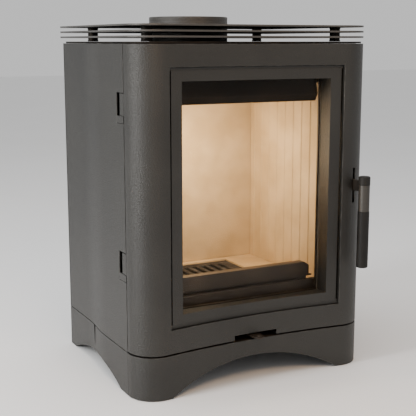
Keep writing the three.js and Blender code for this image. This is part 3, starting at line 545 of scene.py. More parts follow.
@dataclass
class Workshop:
    """Makes pieces and hangs them on their bodies."""

    nodes: dict[str, Object]
    smooth_angle: float = math.radians(38)
    sharp_angle: float = math.radians(24)
    bevel_steps: int = 2
    flat_angle: float = math.radians(0.6)
    drill_sides: int = 28
    made: list[str] = field(default_factory=list)

    def attach(self, piece: Object, body: str, finish: Finish, *stands_for: str) -> None:
        """Dresses a finished piece and lets it ride.

        Args:
            piece: the object, with its place in its mesh.
            body: the body it moves with.
            finish: the finish it takes.
            stands_for: the solids that it replaces.
        """
        piece.data.materials.clear()
        piece.data.materials.append(finish.material())
        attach(piece, body)
        if stands_for:
            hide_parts(*stands_for)
        self.made.append(piece.name)
        LOG.info("%s: %d faces on %s", piece.name, len(piece.data.polygons), body)

    def object_of(self, name: str, work: BMesh) -> Object:
        """Turns a bmesh into a scene object with crisp edges and face-weighted normals, so flats stay flat.

        Args:
            name: the object's name.
            work: the bmesh, which is freed.

        Returns:
            The new object.
        """
        for face in work.faces:
            face.smooth = True
        for edge in work.edges:
            edge.smooth = len(edge.link_faces) != 2 or edge.calc_face_angle(0.0) < self.smooth_angle
        mesh = bpy.data.meshes.new(name)
        work.to_mesh(mesh)
        work.free()
        piece = placed(name, mesh)
        piece.modifiers.new("weighted", "WEIGHTED_NORMAL").keep_sharp = True
        return self.settle(piece)

    @staticmethod
    def settle(piece: Object) -> Object:
        """Applies a piece's modifiers by taking its evaluated mesh.

        Args:
            piece: the object.

        Returns:
            The same object.
        """
        bpy.context.view_layer.update()
        evaluated = piece.evaluated_get(bpy.context.evaluated_depsgraph_get())
        plain = bpy.data.meshes.new_from_object(evaluated)
        plain.name = piece.name
        piece.modifiers.clear()
        piece.data = plain
        return piece

    def copy_of(self, node: str, drills: Iterable["Drill"] = ()) -> BMesh:
        """A clean bmesh of a solid, merged, with its flat faces joined.

        Args:
            node: the solid's name.
            drills: recesses cut before the edges are worked.

        Returns:
            The bmesh.
        """
        work = bmesh.new()
        work.from_mesh(self.nodes[node].data)
        bmesh.ops.remove_doubles(work, verts=work.verts, dist=WELD)
        for drill in drills:
            work = self.drilled(work, drill)
        self.join_flats(work)
        return work

    def join_flats(self, work: BMesh) -> None:
        """Joins coplanar faces.

        Args:
            work: the bmesh, which is changed.
        """
        bmesh.ops.dissolve_limit(
            work, angle_limit=self.flat_angle, use_dissolve_boundaries=False, verts=work.verts,
            edges=work.edges,
        )

    def drilled(self, work: BMesh, drill: "Drill") -> BMesh:
        """Cuts round recesses with an exact boolean.

        Args:
            work: the bmesh, which is freed.
            drill: the recesses.

        Returns:
            The cut bmesh.
        """
        body = placed("drill_body", bpy.data.meshes.new("drill_body"))
        work.to_mesh(body.data)
        work.free()
        tool_work = bmesh.new()
        for place in drill.places:
            matrix = Matrix.Translation(place) @ drill.turn
            bmesh.ops.create_cone(
                tool_work, cap_ends=True, segments=self.drill_sides, radius1=drill.radius,
                radius2=drill.radius, depth=2 * drill.depth, matrix=matrix,
            )
        tool = placed("drill_tool", bpy.data.meshes.new("drill_tool"))
        tool_work.to_mesh(tool.data)
        tool_work.free()
        modifier = body.modifiers.new("cut", "BOOLEAN")
        modifier.object = tool
        modifier.operation = "DIFFERENCE"
        modifier.solver = "EXACT"
        self.settle(body)
        result = bmesh.new()
        result.from_mesh(body.data)
        bpy.data.objects.remove(body)
        bpy.data.objects.remove(tool)
        return result

    def eased(self, name: str, work: BMesh, width: float) -> Object:
        """Eases the edges of a bmesh and marks the eased faces as worn.

        Args:
            name: the piece's name.
            work: the bmesh, which is freed.
            width: the bevel's width in metres.

        Returns:
            The new object.
        """
        layer = work.faces.layers.float.new(WEAR)
        edges = [edge for edge in work.edges
                 if len(edge.link_faces) == 2 and edge.calc_face_angle(0.0) > self.sharp_angle]
        result = bmesh.ops.bevel(
            work, geom=edges, offset=width, offset_type="OFFSET", segments=self.bevel_steps, profile=0.5,
            affect="EDGES", clamp_overlap=True,
        )
        for face in result["faces"]:
            face[layer] = 1.0
        return self.object_of(name, work)

    def worked(self, node: str, body: str, finish: Finish, width: float,
               drills: Iterable["Drill"] = ()) -> None:
        """A solid with eased edges that stands for the plain one.

        Args:
            node: the solid's name.
            body: its body.
            finish: its finish.
            width: the bevel's width in metres.
            drills: recesses to cut first.
        """
        piece = self.eased(f"{node}_eased", self.copy_of(node, drills), width)
        self.attach(piece, body, finish, node)

    def turned(self, name: str, profile: Profile, centre: Point, along: str = "Z", sides: int = 96,
               closed: bool = False) -> Object:
        """A turned piece.

        Args:
            name: the piece's name.
            profile: (radius, height) pairs in metres; radius 0 closes on the axis.
            centre: where the axis starts.
            along: the axis, "X" or "Z".
            sides: the number of sides.
            closed: True for a tube whose profile returns to its start.

        Returns:
            The new object.
        """
        work = bmesh.new()
        turn = Matrix.Rotation(math.radians(90), 4, "Y") if along == "X" else Matrix.Identity(4)
        frame = Matrix.Translation(centre) @ turn
        rings: list[list[BMVert]] = []
        for radius, height in profile:
            count = 1 if radius == 0 else sides
            angles = (2 * math.pi * k / sides for k in range(count))
            points = [(radius * math.cos(a), radius * math.sin(a), height) for a in angles]
            rings.append([work.verts.new(frame @ Vector(point)) for point in points])
        pairs = list(zip(rings, rings[1:])) + ([(rings[-1], rings[0])] if closed else [])
        for lower, upper in pairs:
            for k in range(sides):
                loop = [lower[k % len(lower)], lower[(k + 1) % len(lower)], upper[(k + 1) % len(upper)],
                        upper[k % len(upper)]]
                unique = list(dict.fromkeys(loop))
                if len(unique) > 2:
                    work.faces.new(unique)
        bmesh.ops.remove_doubles(work, verts=work.verts, dist=WELD / 10)
        bmesh.ops.recalc_face_normals(work, faces=work.faces)
        return self.object_of(name, work)

    def grown(self, name: str, seed: Mesh, tree: NodeTree,
              inputs: dict[str, object]) -> Object:
        """Runs a geometry tree on a seed mesh and keeps the plain result.

        Args:
            name: the piece's name.
            seed: the mesh that the tree starts from.
            tree: the geometry tree.
            inputs: the tree's inputs by name.

        Returns:
            The new object.
        """
        piece = placed(name, seed)
        modifier = piece.modifiers.new("tree", "NODES")
        modifier.node_group = tree
        for item in tree.interface.items_tree:
            if item.item_type == "SOCKET" and item.in_out == "INPUT" and item.name in inputs:
                modifier[item.identifier] = inputs[item.name]
        self.settle(piece)
        work = bmesh.new()
        work.from_mesh(piece.data)
        bpy.data.objects.remove(piece)
        return self.object_of(name, work)


@dataclass(frozen=True)
class Drill:
    """Round recesses of one size."""

    places: Sequence[Point]
    radius: float
    depth: float
    turn: Matrix = Matrix.Rotation(math.radians(90), 4, "X")


def fillet(bend: float, centre: tuple[float, float], start: float, end: float, steps: int = 6) -> Profile:
    """Points of a round corner.

    Args:
        bend: the corner's radius.
        centre: its centre in the profile.
        start: the first angle in degrees.
        end: the last angle in degrees.
        steps: the number of steps.

    Returns:
        The (radius, height) pairs.
    """
    angles = [math.radians(start + (end - start) * k / steps) for k in range(steps + 1)]
    return [(centre[0] + bend * math.cos(a), centre[1] + bend * math.sin(a)) for a in angles]


# --- geometry trees
class TreeMaker:
    """Builds the geometry trees for what repeats."""

    @staticmethod
    def start(name: str, numbers: dict[str, float],
              vectors: dict[str, Point]) -> tuple[Graph, dict[str, Socket]]:
        """Makes an empty tree with named inputs.

        Args:
            name: the tree's name.
            numbers: float inputs and their defaults.
            vectors: vector inputs and their defaults.

        Returns:
            The graph and its inputs by name.
        """
        tree = bpy.data.node_groups.new(name, "GeometryNodeTree")
        face = tree.interface
        face.new_socket("Geometry", in_out="INPUT", socket_type="NodeSocketGeometry")
        for kind, inputs in (("NodeSocketFloat", numbers), ("NodeSocketVector", vectors)):
            for label, value in inputs.items():
                face.new_socket(label, in_out="INPUT", socket_type=kind).default_value = value
        face.new_socket("Geometry", in_out="OUTPUT", socket_type="NodeSocketGeometry")
        graph = Graph(tree)
        entry = graph.add("NodeGroupInput")
        return graph, {socket.name: Socket(graph, socket) for socket in entry.outputs if socket.name}

    @staticmethod
    def finish(graph: Graph, geometry: Socket, finish: Finish) -> NodeTree:
        """Ends a tree in real faces with a material.

        Args:
            graph: the tree's graph.
            geometry: what it makes.
            finish: the finish of that.

        Returns:
            The tree.
        """
        real = graph.node("GeometryNodeRealizeInstances", in0=geometry)
        dressed = graph.node("GeometryNodeSetMaterial", Geometry=real, Material=finish.material())
        graph.add("NodeGroupOutput", in0=dressed)
        return graph.tree

    def fasteners(self, finish: Finish, seed: int) -> NodeTree:
        """Socket screws on the seed's points, each turned by its own angle.

        Args:
            finish: the screws' finish.
            seed: what their angles are drawn from.

        Returns:
            The tree.
        """
        graph, given = self.start(
            f"socket_screws_{finish.slot}",
            {"Head Radius": 0.004, "Head Height": 0.002, "Socket Radius": 0.0018},
            {"Facing": (0.0, 0.0, 0.0)},
        )
        radius, height, socket = given["Head Radius"], given["Head Height"], given["Socket Radius"]
        base = graph.node("GeometryNodeMeshCylinder", Vertices=24, Radius=radius, Depth=height * 0.6)
        lower = graph.node("GeometryNodeTransform", Geometry=base, Translation=graph.upward(height * 0.3))
        dome = graph.node("GeometryNodeMeshCone", Vertices=24, Radius_Top=radius * 0.78,
                          Radius_Bottom=radius, Depth=height * 0.4)
        upper = graph.node("GeometryNodeTransform", Geometry=dome, Translation=graph.upward(height * 0.6))
        body = graph.node("GeometryNodeMeshBoolean", {"operation": "UNION"}, Mesh_2=[lower, upper])
        hexagon = graph.node("GeometryNodeMeshCylinder", Vertices=6, Radius=socket, Depth=height)
        pocket = graph.node("GeometryNodeTransform", Geometry=hexagon,
                            Translation=graph.upward(height * 0.95))
        head = graph.node("GeometryNodeMeshBoolean", {"operation": "DIFFERENCE"}, Mesh_1=body,
                          Mesh_2=pocket)
        spin = graph.node("FunctionNodeRandomValue", {"data_type": "FLOAT"}, out=1, in2=0.0,
                          in3=math.tau, Seed=seed)
        facing = graph.node("FunctionNodeEulerToRotation", in0=given["Facing"])
        own = graph.node("FunctionNodeEulerToRotation", in0=graph.upward(spin))
        both = graph.node("FunctionNodeRotateRotation", {"rotation_space": "LOCAL"}, in0=facing, in1=own)
        heads = graph.node("GeometryNodeInstanceOnPoints", Points=given["Geometry"], Instance=head,
                           Rotation=both)
        return self.finish(graph, heads, finish)

    def braid(self, finish: Finish, strands: int, points: int) -> NodeTree:
        """A flat braided rope that follows the seed's closed edge loop in the XZ plane.

        Args:
            finish: the rope's finish.
            strands: how many yarns are braided, half of them each way round.
            points: how many points each yarn's path has.

        Returns:
            The tree.
        """
        graph, given = self.start(
            "braided_rope",
            {"Strand Radius": 0.0011, "Half Depth": 0.0018, "Half Width": 0.0034, "Turns": 70.0},
            {"Depth Axis": (0.0, 1.0, 0.0)},
        )
        loop = graph.node("GeometryNodeMeshToCurve", Mesh=given["Geometry"])
        path = graph.node("GeometryNodeResampleCurve", Curve=loop, Count=points)
        factor = graph.node("GeometryNodeSplineParameter", out="Factor")
        tangent = graph.node("GeometryNodeInputTangent")
        side = graph.node("ShaderNodeVectorMath", {"operation": "CROSS_PRODUCT"}, in0=tangent,
                          in1=given["Depth Axis"])
        profile = graph.node("GeometryNodeCurvePrimitiveCircle", Resolution=6, Radius=given["Strand Radius"])
        tubes = []
        for strand in range(strands):
            way = 1 if strand % 2 else -1
            phase = factor * given["Turns"] * (math.tau * way) + math.tau * (strand // 2) / (strands / 2)
            deep = graph.node("ShaderNodeVectorMath", {"operation": "SCALE"}, in0=given["Depth Axis"],
                              Scale=phase.sine() * given["Half Depth"])
            wide = graph.node("ShaderNodeVectorMath", {"operation": "SCALE"}, in0=side,
                              Scale=phase.cosine() * given["Half Width"])
            offset = graph.node("ShaderNodeVectorMath", {"operation": "ADD"}, in0=deep, in1=wide)
            moved = graph.node("GeometryNodeSetPosition", Geometry=path, Offset=offset)
            tubes.append(graph.node("GeometryNodeCurveToMesh", Curve=moved, Profile_Curve=profile))
        return self.finish(graph, graph.node("GeometryNodeJoinGeometry", in0=tubes), finish)


def points_mesh(name: str, places: Sequence[Point], closed: bool = False) -> Mesh:
    """A mesh of loose points, or a closed edge loop through them.

    Args:
        name: the mesh's name.
        places: the points in metres.
        closed: True to join them into a loop.

    Returns:
        The mesh.
    """
    mesh = bpy.data.meshes.new(name)
    count = len(places)
    edges = [(k, (k + 1) % count) for k in range(count)] if closed else []
    mesh.from_pydata(places, edges, [])
    return mesh


# --- sub-assemblies
@dataclass
class SubAssembly:
    """A group of pieces that is built together."""

    shop: Workshop
    trees: TreeMaker
    screw_seed: int = 7
    socket_share: float = 0.46

    def screws(self, name: str, places: Sequence[Point], body: str, finish: Finish, facing: Point,
               radius: float, height: float) -> None:
        """A set of socket screws in one piece.

        Args:
            name: the piece's name.
            places: the seats of the heads.
            body: the body they move with.
            finish: their finish.
            facing: the turn from +Z to the way the heads face, in radians.
            radius: the heads' radius.
            height: the heads' height.
        """
        tree = self.trees.fasteners(finish, self.screw_seed)
        sizes = {"Head Radius": radius, "Head Height": height, "Facing": facing,
                 "Socket Radius": radius * self.socket_share}
        piece = self.shop.grown(name, points_mesh(name, places), tree, sizes)
        self.shop.attach(piece, body, finish)

    def ease(self, body: str, finish: Finish, width: float, *solids: str) -> None:
        """Eases the edges of solids that keep their shapes.

        Args:
            body: the body they belong to.
            finish: their finish.
            width: the bevel's width in metres.
            solids: their names.
        """
        for solid in solids:
            self.shop.worked(solid, body, finish, width)

    def turn(self, node: str, body: str, finish: Finish, profile: Profile, foot: Point,
             **options: object) -> None:
        """Makes a turned piece that stands for a round solid.

        Args:
            node: the solid.
            body: the body it belongs to.
            finish: its finish.
            profile: (radius, height) pairs in metres.
            foot: where its axis starts.
            options: along, sides and closed, as for Workshop.turned.
        """
        piece = self.shop.turned(f"{node}_turned", profile, foot, **options)
        self.shop.attach(piece, body, finish, node)

    def build(self) -> None:
        """Builds and dresses every piece of the group."""
        raise NotImplementedError


BACKWARD: Point = (math.radians(-90), 0.0, 0.0)
EDGE = 0.5 * MM


@dataclass
class Shell(SubAssembly):
    """Plinth, side and rear panels."""

    fold: float = 0.9 * MM
    screw_radius: float = 3.8 * MM
    screw_height: float = 1.5 * MM
    pocket_depth: float = 1.8 * MM
    pocket_play: float = 0.6 * MM
    screw_inset: float = 11 * MM
    rear_rows: tuple[tuple[str, int], ...] = (("rear_panel", 4), ("plinth_rear", 2))

    def rear_screws(self, node: str, rows: int) -> list[Point]:
        """Seats along both upright edges of a rear plate, at its rear face.

        Args:
            node: the plate.
            rows: how many screws each edge has.

        Returns:
            The seats.
        """
        low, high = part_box(node)
        places = []
        for row in range(rows):
            z = low[2] + self.screw_inset + row * (high[2] - low[2] - 2 * self.screw_inset) / (rows - 1)
            places += [(low[0] + self.screw_inset, high[1], z), (high[0] - self.screw_inset, high[1], z)]
        return places

    def build(self) -> None:
        """Builds the outer sheet parts and the screws of the rear plates."""
        self.ease("casing", PAINT, self.fold, "plinth_front", "plinth_side_right", "plinth_side_left",
                  "side_panel_right", "side_panel_left")
        for node, rows in self.rear_rows:
            places = self.rear_screws(node, rows)
            drill = Drill(places, self.screw_radius + self.pocket_play, self.pocket_depth)
            self.shop.worked(node, "casing", PAINT, EDGE, [drill])
            seats = [(x, y - self.pocket_depth, z) for x, y, z in places]
            self.screws(f"{node}_screws", seats, "casing", SATIN, BACKWARD, self.screw_radius,
                        self.screw_height)
        self.ease("casing", STEEL, EDGE, "base_plate")


@dataclass
class Top(SubAssembly):
    """Top plate, the three thin plates on their columns, and the flue collar."""

    column_chamfer: float = 0.8 * MM
    washer_height: float = 1.6 * MM
    washer_rim: float = 0.7 * MM
    washer_chamfer: float = 0.4 * MM
    washer_run_out: float = 1.2 * MM
    collar_wall: float = 3.0 * MM
    bore_lip: float = 4.0 * MM
    flange_width: float = 4.0 * MM
    flange_height: float = 3.0 * MM
    flange_chamfer: float = 0.4 * MM
    weld: tuple[tuple[float, float], ...] = ((1.6 * MM, 0.0), (0.5 * MM, 1.2 * MM), (0.0, 3.0 * MM))
    groove: tuple[tuple[float, float], ...] = (
        (0.0, 9.0 * MM), (0.35 * MM, 8.4 * MM), (0.35 * MM, 7.6 * MM), (0.0, 7.0 * MM),
    )

    def column(self, node: str) -> None:
        """A turned column with a washer at each end.

        Args:
            node: the solid that it replaces.
        """
        radius, height, foot = upright(node)
        waist = radius - self.washer_rim
        edge, disc, slope = self.column_chamfer, self.washer_height, self.washer_chamfer
        lower = [(0, 0), (radius - edge, 0), (radius, edge), (radius, disc), (waist + slope, disc + slope),
                 (waist, disc + self.washer_run_out)]
        profile = lower + [(r, height - z) for r, z in reversed(lower)]
        self.turn(node, "casing", STEEL, profile, foot, sides=48)

    def collar(self) -> None:
        """The flue collar, with a rolled rim, a groove and a weld on its flange."""
        outer, height, foot = upright("flue_collar")
        radius = outer - self.flange_width
        bore = radius - self.collar_wall
        rim = self.collar_wall / 2
        flange, slope = self.flange_height, self.flange_chamfer
        profile = [
            (bore, 0), (outer, 0), (outer, flange - slope), (outer - slope, flange),
            *[(radius + out, flange + up) for out, up in self.weld],
            *[(radius - deep, height - down) for deep, down in self.groove],
            *fillet(rim, (radius - rim, height - rim), 0, 180, 8), (bore, height - self.bore_lip),
        ]
        # painted light: the collar takes the paler copy of the stove paint
        self.turn("flue_collar", "casing", PAINT_PAINTED_TOP_LIGHT, profile, foot, sides=128, closed=True)

    def build(self) -> None:
        """Builds the plates, columns and collar."""
        # painted shade: the top plate is near-black to stand for the shadow line under the thin plates
        self.ease("casing", SHADE_BLACK_STEEL, EDGE, "top_plate")
        # painted light: the thin plates take the paler copy of the stove paint
        self.ease("casing", PAINT_PAINTED_TOP_LIGHT, EDGE, "thin_plate_lower", "thin_plate_middle", "thin_plate_upper")
        for corner in ("front_right", "front_left", "rear_right", "rear_left"):
            self.column(f"plate_column_{corner}")
        self.collar()


@dataclass
class Firebox(SubAssembly):
    """Front frame, shell, lining, grate and the plates that guide logs and air."""

    fold: float = 0.4 * MM
    board_edge: float = 1.1 * MM
    iron_edge: float = 1.2 * MM

    def build(self) -> None:
        """Builds everything behind the door."""
        self.ease("casing", STEEL, self.fold, "front_frame", "firebox_shell", "ash_pan")
        # painted firelight: the apron and log retainer take the paler brown steel
        self.ease("casing", FIRELIT_BROWN_STEEL, self.fold, "ash_apron", "log_retainer")
        # painted shade: the air wash bar is near-black to stand for its shaded upper face
        self.ease("casing", SHADE_BLACK_STEEL, self.fold, "air_wash_bar")
        self.ease("casing", BOARD, EDGE, "lining_side_right", "lining_side_left")
        self.ease("casing", BOARD, self.board_edge, "lining_back", "lining_floor", "baffle")
        self.ease("casing", IRON, self.iron_edge, "grate")


@dataclass
class AirSupply(SubAssembly):
    """Air box, spigot and the slide with its lever."""

    tip_radius: float = 9.5 * MM
    eye_radius: float = 4.0 * MM
    eye_from_tip: float = 8.0 * MM
    tongue: float = 11.0 * MM
    neck_from_tip: float = 22.0 * MM
    plate_depth: float = 46.0 * MM
    port_lefts: tuple[float, float] = (-48 * MM, 56 * MM)
    port_width: float = 46.0 * MM
    port_margin: float = 8.0 * MM
    spigot_flange: float = 10.0 * MM
    spigot_wall: float = 2.0 * MM
    bead: float = 0.5 * MM
    bend: float = 0.3 * MM

    def slide(self) -> None:
        """The flat slide, whose tongue ends in a round eye."""
        low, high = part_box("air_slide")
        half, tongue, tip = high[0], self.tongue, low[1]
        shoulder, neck = high[1] - self.plate_depth, tip + self.neck_from_tip
        arc = [(self.tip_radius * math.sin(a), tip + self.tip_radius - self.tip_radius * math.cos(a))
               for a in (math.radians(-90 + 180 * k / 16) for k in range(17))]
        outline = [
            (-half, high[1]), (-half, shoulder), (-tongue, shoulder), (-tongue, neck), *arc,
            (tongue, neck), (tongue, shoulder), (half, shoulder), (half, high[1]),
        ]
        eye = [(self.eye_radius * math.cos(a), tip + self.eye_from_tip + self.eye_radius * math.sin(a))
               for a in (math.tau * k / 24 for k in range(24))]
        ports = []
        for left in self.port_lefts:
            right, front = left + self.port_width, shoulder + self.port_margin
            rear = high[1] - self.port_margin
            ports.append([(left, front), (right, front), (right, rear), (left, rear)])
        piece = self.flat_plate("air_slide_plate", [outline, eye, *ports], low[2], high[2])
        self.shop.attach(piece, "air_control", STEEL, "air_slide")

    def flat_plate(self, name: str, loops: Sequence[Sequence[tuple[float, float]]], bottom: float,
                   top: float) -> Object:
        """A flat plate with holes and eased edges.

        Args:
            name: the piece's name.
            loops: the outline, then its holes.
            bottom: the lower face's height.
            top: the upper face's height.

        Returns:
            The new object.
        """
        curve = bpy.data.curves.new(name, "CURVE")
        curve.dimensions = "2D"
        curve.fill_mode = "BOTH"
        curve.extrude = (top - bottom) / 2 - EDGE
        curve.bevel_depth = EDGE
        curve.bevel_resolution = 1
        curve.offset = -EDGE
        for loop in loops:
            spline = curve.splines.new("POLY")
            spline.points.add(len(loop) - 1)
            spline.use_cyclic_u = True
            for target, (x, y) in zip(spline.points, loop):
                target.co = (x, y, 0.0, 1.0)
        drawn = placed(name, curve)
        bpy.context.view_layer.update()
        mesh = bpy.data.meshes.new_from_object(drawn.evaluated_get(bpy.context.evaluated_depsgraph_get()))
        bpy.data.objects.remove(drawn)
        mesh.transform(Matrix.Translation((0, 0, (bottom + top) / 2)))
        work = bmesh.new()
        work.from_mesh(mesh)
        bmesh.ops.remove_doubles(work, verts=work.verts, dist=WELD)
        bmesh.ops.recalc_face_normals(work, faces=work.faces)
        return self.shop.object_of(name, work)

    def spigot(self) -> None:
        """The turned air spigot with a hose bead."""
        flange, height, foot = upright("air_spigot")
        radius = flange - self.spigot_flange
        bore, pipe, bend = radius - self.spigot_wall, radius - self.bead, self.bend
        profile = [
            (bore, bend), (bore + 0.4 * MM, 0), (pipe - bend, 0), (pipe, 0.4 * MM), (pipe, 5 * MM),
            (radius, 6 * MM), (radius, 7.5 * MM), (pipe, 8.5 * MM), (pipe, height - 3 * MM),
            (radius + 0.6 * MM, height - 2 * MM), (flange - bend, height - 2 * MM),
            (flange, height - 1.7 * MM), (flange, height - 0.2 * MM), (flange - bend, height),
            (bore, height),
        ]
        self.turn("air_spigot", "casing", STEEL, profile, foot, closed=True)

    def build(self) -> None:
        """Builds the air parts."""
        self.ease("casing", STEEL, self.bend, "air_box")
        self.spigot()
        self.slide()


@dataclass
class Door(SubAssembly):
    """Curved door, window frame, glass, inner plate and rope."""

    fold: float = 0.9 * MM
    screw_radius: float = 4.0 * MM
    screw_height: float = 2.4 * MM
    side_screws: tuple[float, ...] = (193 * MM, 337 * MM, 481 * MM)
    cross_screws: tuple[float, ...] = (-95 * MM, 0.0, 95 * MM)
    side_x: float = 162.5 * MM
    cross_below_glass: float = 7 * MM
    rope_half_width: float = 4.5 * MM
    rope_corner: float = 9 * MM
    rope_turns: float = 66.0
    strand: float = 1.05 * MM
    strands: int = 8
    yarn_points: int = 760
    core_inset: float = 1.6 * MM
    core_flatness: float = 0.45

    def rope(self) -> None:
        """The braided door rope around the inner plate."""
        low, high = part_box("door_rope")
        half_width = self.rope_half_width
        depth = high[1] - low[1]
        left, right = low[0] + half_width, high[0] - half_width
        bottom, top = low[2] + half_width, high[2] - half_width
        y = (low[1] + high[1]) / 2
        corner = self.rope_corner
        path: list[Point] = []
        steps = 6
        for x, z, start in ((right, top, 0), (left, top, 90), (left, bottom, 180), (right, bottom, 270)):
            cx = x - corner if x > 0 else x + corner
            cz = z - corner if z == top else z + corner
            for k in range(steps + 1):
                a = math.radians(start + 90 / steps * k)
                path.append((cx + corner * math.cos(a), y, cz + corner * math.sin(a)))
        tree = self.trees.braid(ROPE, self.strands, self.yarn_points)
        sizes = {"Strand Radius": self.strand, "Half Depth": depth / 2 - self.strand - 0.05 * MM,
                 "Half Width": half_width - self.strand - 0.1 * MM, "Turns": self.rope_turns}
        piece = self.shop.grown("door_rope_braid", points_mesh("rope_path", path, closed=True), tree, sizes)
        self.shop.attach(piece, "door", ROPE, "door_rope")
        core = self.shop.copy_of("door_rope")
        for vert in core.verts:
            vert.co.y = y + (vert.co.y - y) * self.core_flatness
            outward = 1 if abs(vert.co.x) > right or not bottom < vert.co.z < top else -1
            vert.co.x -= outward * math.copysign(self.core_inset, vert.co.x)
            vert.co.z -= outward * math.copysign(self.core_inset, vert.co.z - (bottom + top) / 2)
        self.shop.attach(self.shop.eased("door_rope_core", core, self.fold), "door", ROPE)

    def plate_screws(self) -> None:
        """The screws that hold the inner plate, glass and window frame together."""
        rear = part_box("door_inner_plate")[1][1]
        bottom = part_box("door_glass")[0][2] - self.cross_below_glass
        places = [(side * self.side_x, rear, z) for side in (-1, 1) for z in self.side_screws]
        places += [(x, rear, bottom) for x in self.cross_screws]
        self.screws("inner_plate_screws", places, "door", SATIN, BACKWARD, self.screw_radius,
                    self.screw_height)

    def build(self) -> None:
        """Builds the door."""
        self.ease("door", PAINT, self.fold, "door_shell")
        self.ease("door", PAINT, EDGE, "window_frame")
        self.ease("door", GLASS, 0.6 * MM, "door_glass")
        self.ease("door", ROPE, 0.8 * MM, "glass_gasket")
        self.ease("door", STEEL, 0.6 * MM, "door_inner_plate")
        self.plate_screws()
        self.rope()


@dataclass
class Hinges(SubAssembly):
    """Two hinges in the notches of the left side panel."""

    fold: float = 0.6 * MM
    pin_dome: float = 0.9 * MM

    def pin(self, node: str) -> None:
        """A turned pin with domed ends.

        Args:
            node: the solid that it replaces.
        """
        radius, height, foot = upright(node)
        dome = self.pin_dome
        profile = [
            (0, 0), *fillet(dome, (radius - dome, dome), -90, 0),
            *fillet(dome, (radius - dome, height - dome), 0, 90), (0, height),
        ]
        self.turn(node, "casing", SATIN, profile, foot, sides=40)

    def build(self) -> None:
        """Builds both hinges."""
        for level in ("lower", "upper"):
            self.ease("casing", PAINT, self.fold, f"hinge_bracket_{level}")
            self.pin(f"hinge_pin_{level}")
            self.ease("door", PAINT, self.fold, f"hinge_knuckle_{level}")


@dataclass
class Latch(SubAssembly):
    """Rod handle, lever, shaft, hook and the catch on the firebox."""

    end_round: float = 2.6 * MM
    groove: float = 0.5 * MM
    core_gap: float = 0.3 * MM
    rod_edge: float = 0.35 * MM
    plate_edge: float = 0.4 * MM

    def rod(self, node: str, upper: bool) -> None:
        """A turned end section of the handle, bored for the core.

        Args:
            node: the solid that it replaces.
            upper: True for the section at the rod's upper end.
        """
        radius, height, foot = upright(node)
        core_low, core_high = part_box("handle_core")
        bore = (core_high[0] - core_low[0]) / 2 + self.core_gap
        edge, bend = self.rod_edge, self.end_round
        if upper:
            ceiling = core_high[2] + self.core_gap - foot[2]
            profile = [
                (bore, 0), (radius - edge, 0), (radius, edge),
                *fillet(bend, (radius - bend, height - bend), 0, 90), (0, height), (0, ceiling),
                (bore, ceiling), (bore, 0),
            ]
        else:
            floor = core_low[2] - self.core_gap - foot[2]
            profile = [
                (0, 0), *fillet(bend, (radius - bend, bend), -90, 0), (radius, height - edge),
                (radius - edge, height), (bore, height), (bore, floor), (0, floor),
            ]
        self.turn(node, "latch", GRIP, profile, foot, sides=72)

    def shaft(self) -> None:
        """The turned latch shaft with a clip groove near its right end."""
        low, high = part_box("latch_shaft")
        radius = (high[2] - low[2]) / 2
        length = high[0] - low[0]
        edge, cut = EDGE, self.groove
        profile = [
            (0, 0), (radius - edge, 0), (radius, edge), (radius, length - 2 * MM),
            (radius - cut, length - 1.8 * MM), (radius - cut, length - 1.2 * MM),
            (radius, length - 1 * MM), (radius, length - edge), (radius - edge, length), (0, length),
        ]
        start = (low[0], (low[1] + high[1]) / 2, (low[2] + high[2]) / 2)
        self.turn("latch_shaft", "latch", SATIN, profile, start, along="X", sides=48)

    def build(self) -> None:
        """Builds the latch and its catch."""
        self.ease("latch", STEEL, EDGE, "latch_lever", "latch_hook")
        self.shaft()
        self.ease("latch", SATIN, self.plate_edge, "handle_core")
        self.rod("handle_grip", upper=False)
        self.ease("latch", COLLAR, self.rod_edge, "handle_collar")
        self.rod("handle_cap", upper=True)
        self.ease("door", STEEL, self.plate_edge, "latch_bracket")
        self.ease("casing", STEEL, EDGE, "catch_bracket")
        self.ease("casing", SATIN, EDGE, "catch_pin")


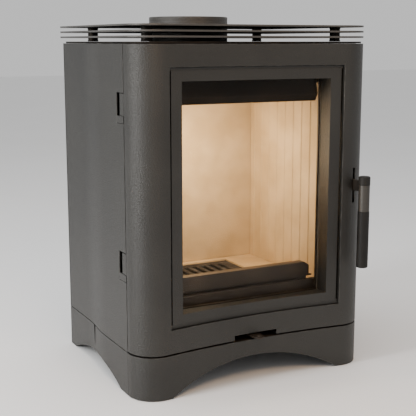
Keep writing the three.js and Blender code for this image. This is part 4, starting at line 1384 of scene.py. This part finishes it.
# --- studio
@dataclass
class Studio:
    """Floor, light and camera."""

    eye: Point = (-0.787, -1.458, 0.594)
    heading: float = 27.8
    tilt: float = 10.47
    lens: float = 77.88
    sensor: float = 36.0
    far: float = 60.0
    floor_reach: float = 14.0
    floor_drop: float = 0.6 * MM

    def floor(self) -> None:
        """A wide pale floor."""
        mesh = bpy.data.meshes.new("studio_floor")
        reach = self.floor_reach
        mesh.from_pydata([(-reach, -reach, 0), (reach, -reach, 0), (reach, reach, 0), (-reach, reach, 0)], [],
                         [(0, 1, 2, 3)])
        piece = placed("studio_floor", mesh)
        piece.location.z = -self.floor_drop
        piece.data.materials.append(PaleFloor("pale_floor", "").material())

    @staticmethod
    def panel(name: str, place: Point, target: Point, size: tuple[float, float], power: float,
              colour: Colour = (1, 1, 1)) -> None:
        """A soft rectangular light.

        Args:
            name: the light's name.
            place: where it stands.
            target: what it faces.
            size: its width and height.
            power: its power in watts.
            colour: its colour.
        """
        data = bpy.data.lights.new(name, "AREA")
        data.shape = "RECTANGLE"
        data.size, data.size_y = size
        data.energy = power
        data.color = colour
        light = placed(name, data)
        light.location = place
        light.rotation_euler = (Vector(target) - Vector(place)).to_track_quat("-Z", "Y").to_euler()

    @staticmethod
    def glow(name: str, place: Point, power: float, colour: Colour, radius: float) -> None:
        """A round light.

        Args:
            name: the light's name.
            place: where it stands.
            power: its power in watts.
            colour: its colour.
            radius: its radius.
        """
        data = bpy.data.lights.new(name, "POINT")
        data.energy = power
        data.color = colour
        data.shadow_soft_size = radius
        light = placed(name, data)
        light.location = place

    def lights(self) -> None:
        """Soft light from above, the left and the front, and the warm firebox."""
        world = bpy.data.worlds.new("studio_air")
        bpy.context.scene.world = world
        world.use_nodes = True
        graph = Graph(world.node_tree)
        air = graph.node("ShaderNodeBackground", Color=(1.0, 1.0, 1.0), Strength=0.7)
        graph.add("ShaderNodeOutputWorld", in0=air)
        self.panel("soft_top", (-0.6, 0.1, 2.6), (0, 0, 0.3), (2.4, 2.4), 34)
        self.panel("rim_left", (-1.9, -0.2, 0.85), (-0.2, -0.14, 0.35), (0.3, 1.8), 38)
        self.panel("warm_front", (-0.22, -1.15, 1.25), (-0.06, -0.16, 0.52), (0.6, 0.4), 8,
                   (1.0, 0.62, 0.32))
        self.glow("ember_glow", (-0.02, 0.03, 0.39), 3.2, (1.0, 0.78, 0.52), 0.05)

    def camera(self) -> None:
        """The camera, straight and level but for its tilt."""
        data = bpy.data.cameras.new("front_left_camera")
        data.lens = self.lens
        data.sensor_width = self.sensor
        data.sensor_fit = "HORIZONTAL"
        data.clip_end = self.far
        camera = placed("front_left_camera", data)
        camera.location = self.eye
        camera.rotation_euler = (math.radians(90 - self.tilt), 0.0, math.radians(-self.heading))
        bpy.context.scene.camera = camera

    def build(self) -> None:
        """Sets up the studio."""
        self.floor()
        self.lights()
        self.camera()


def numbers(box: Sequence[Sequence[float]]) -> list[list[float]]:
    """A box as plain lists of numbers."""
    return [[float(value) for value in corner] for corner in box]


def main() -> None:
    """Builds the stove's looks."""
    logging.basicConfig(level=logging.INFO, format="%(name)s: %(message)s")
    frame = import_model()
    shop = Workshop(frame["nodes"])
    trees = TreeMaker()
    groups: list[Callable[[Workshop, TreeMaker], SubAssembly]] = [
        Shell, Top, Firebox, AirSupply, Door, Hinges, Latch,
    ]
    for group in groups:
        group(shop, trees).build()
    Studio().build()
    LOG.info("%d pieces", len(shop.made))


if __name__ == "__main__":
    main()
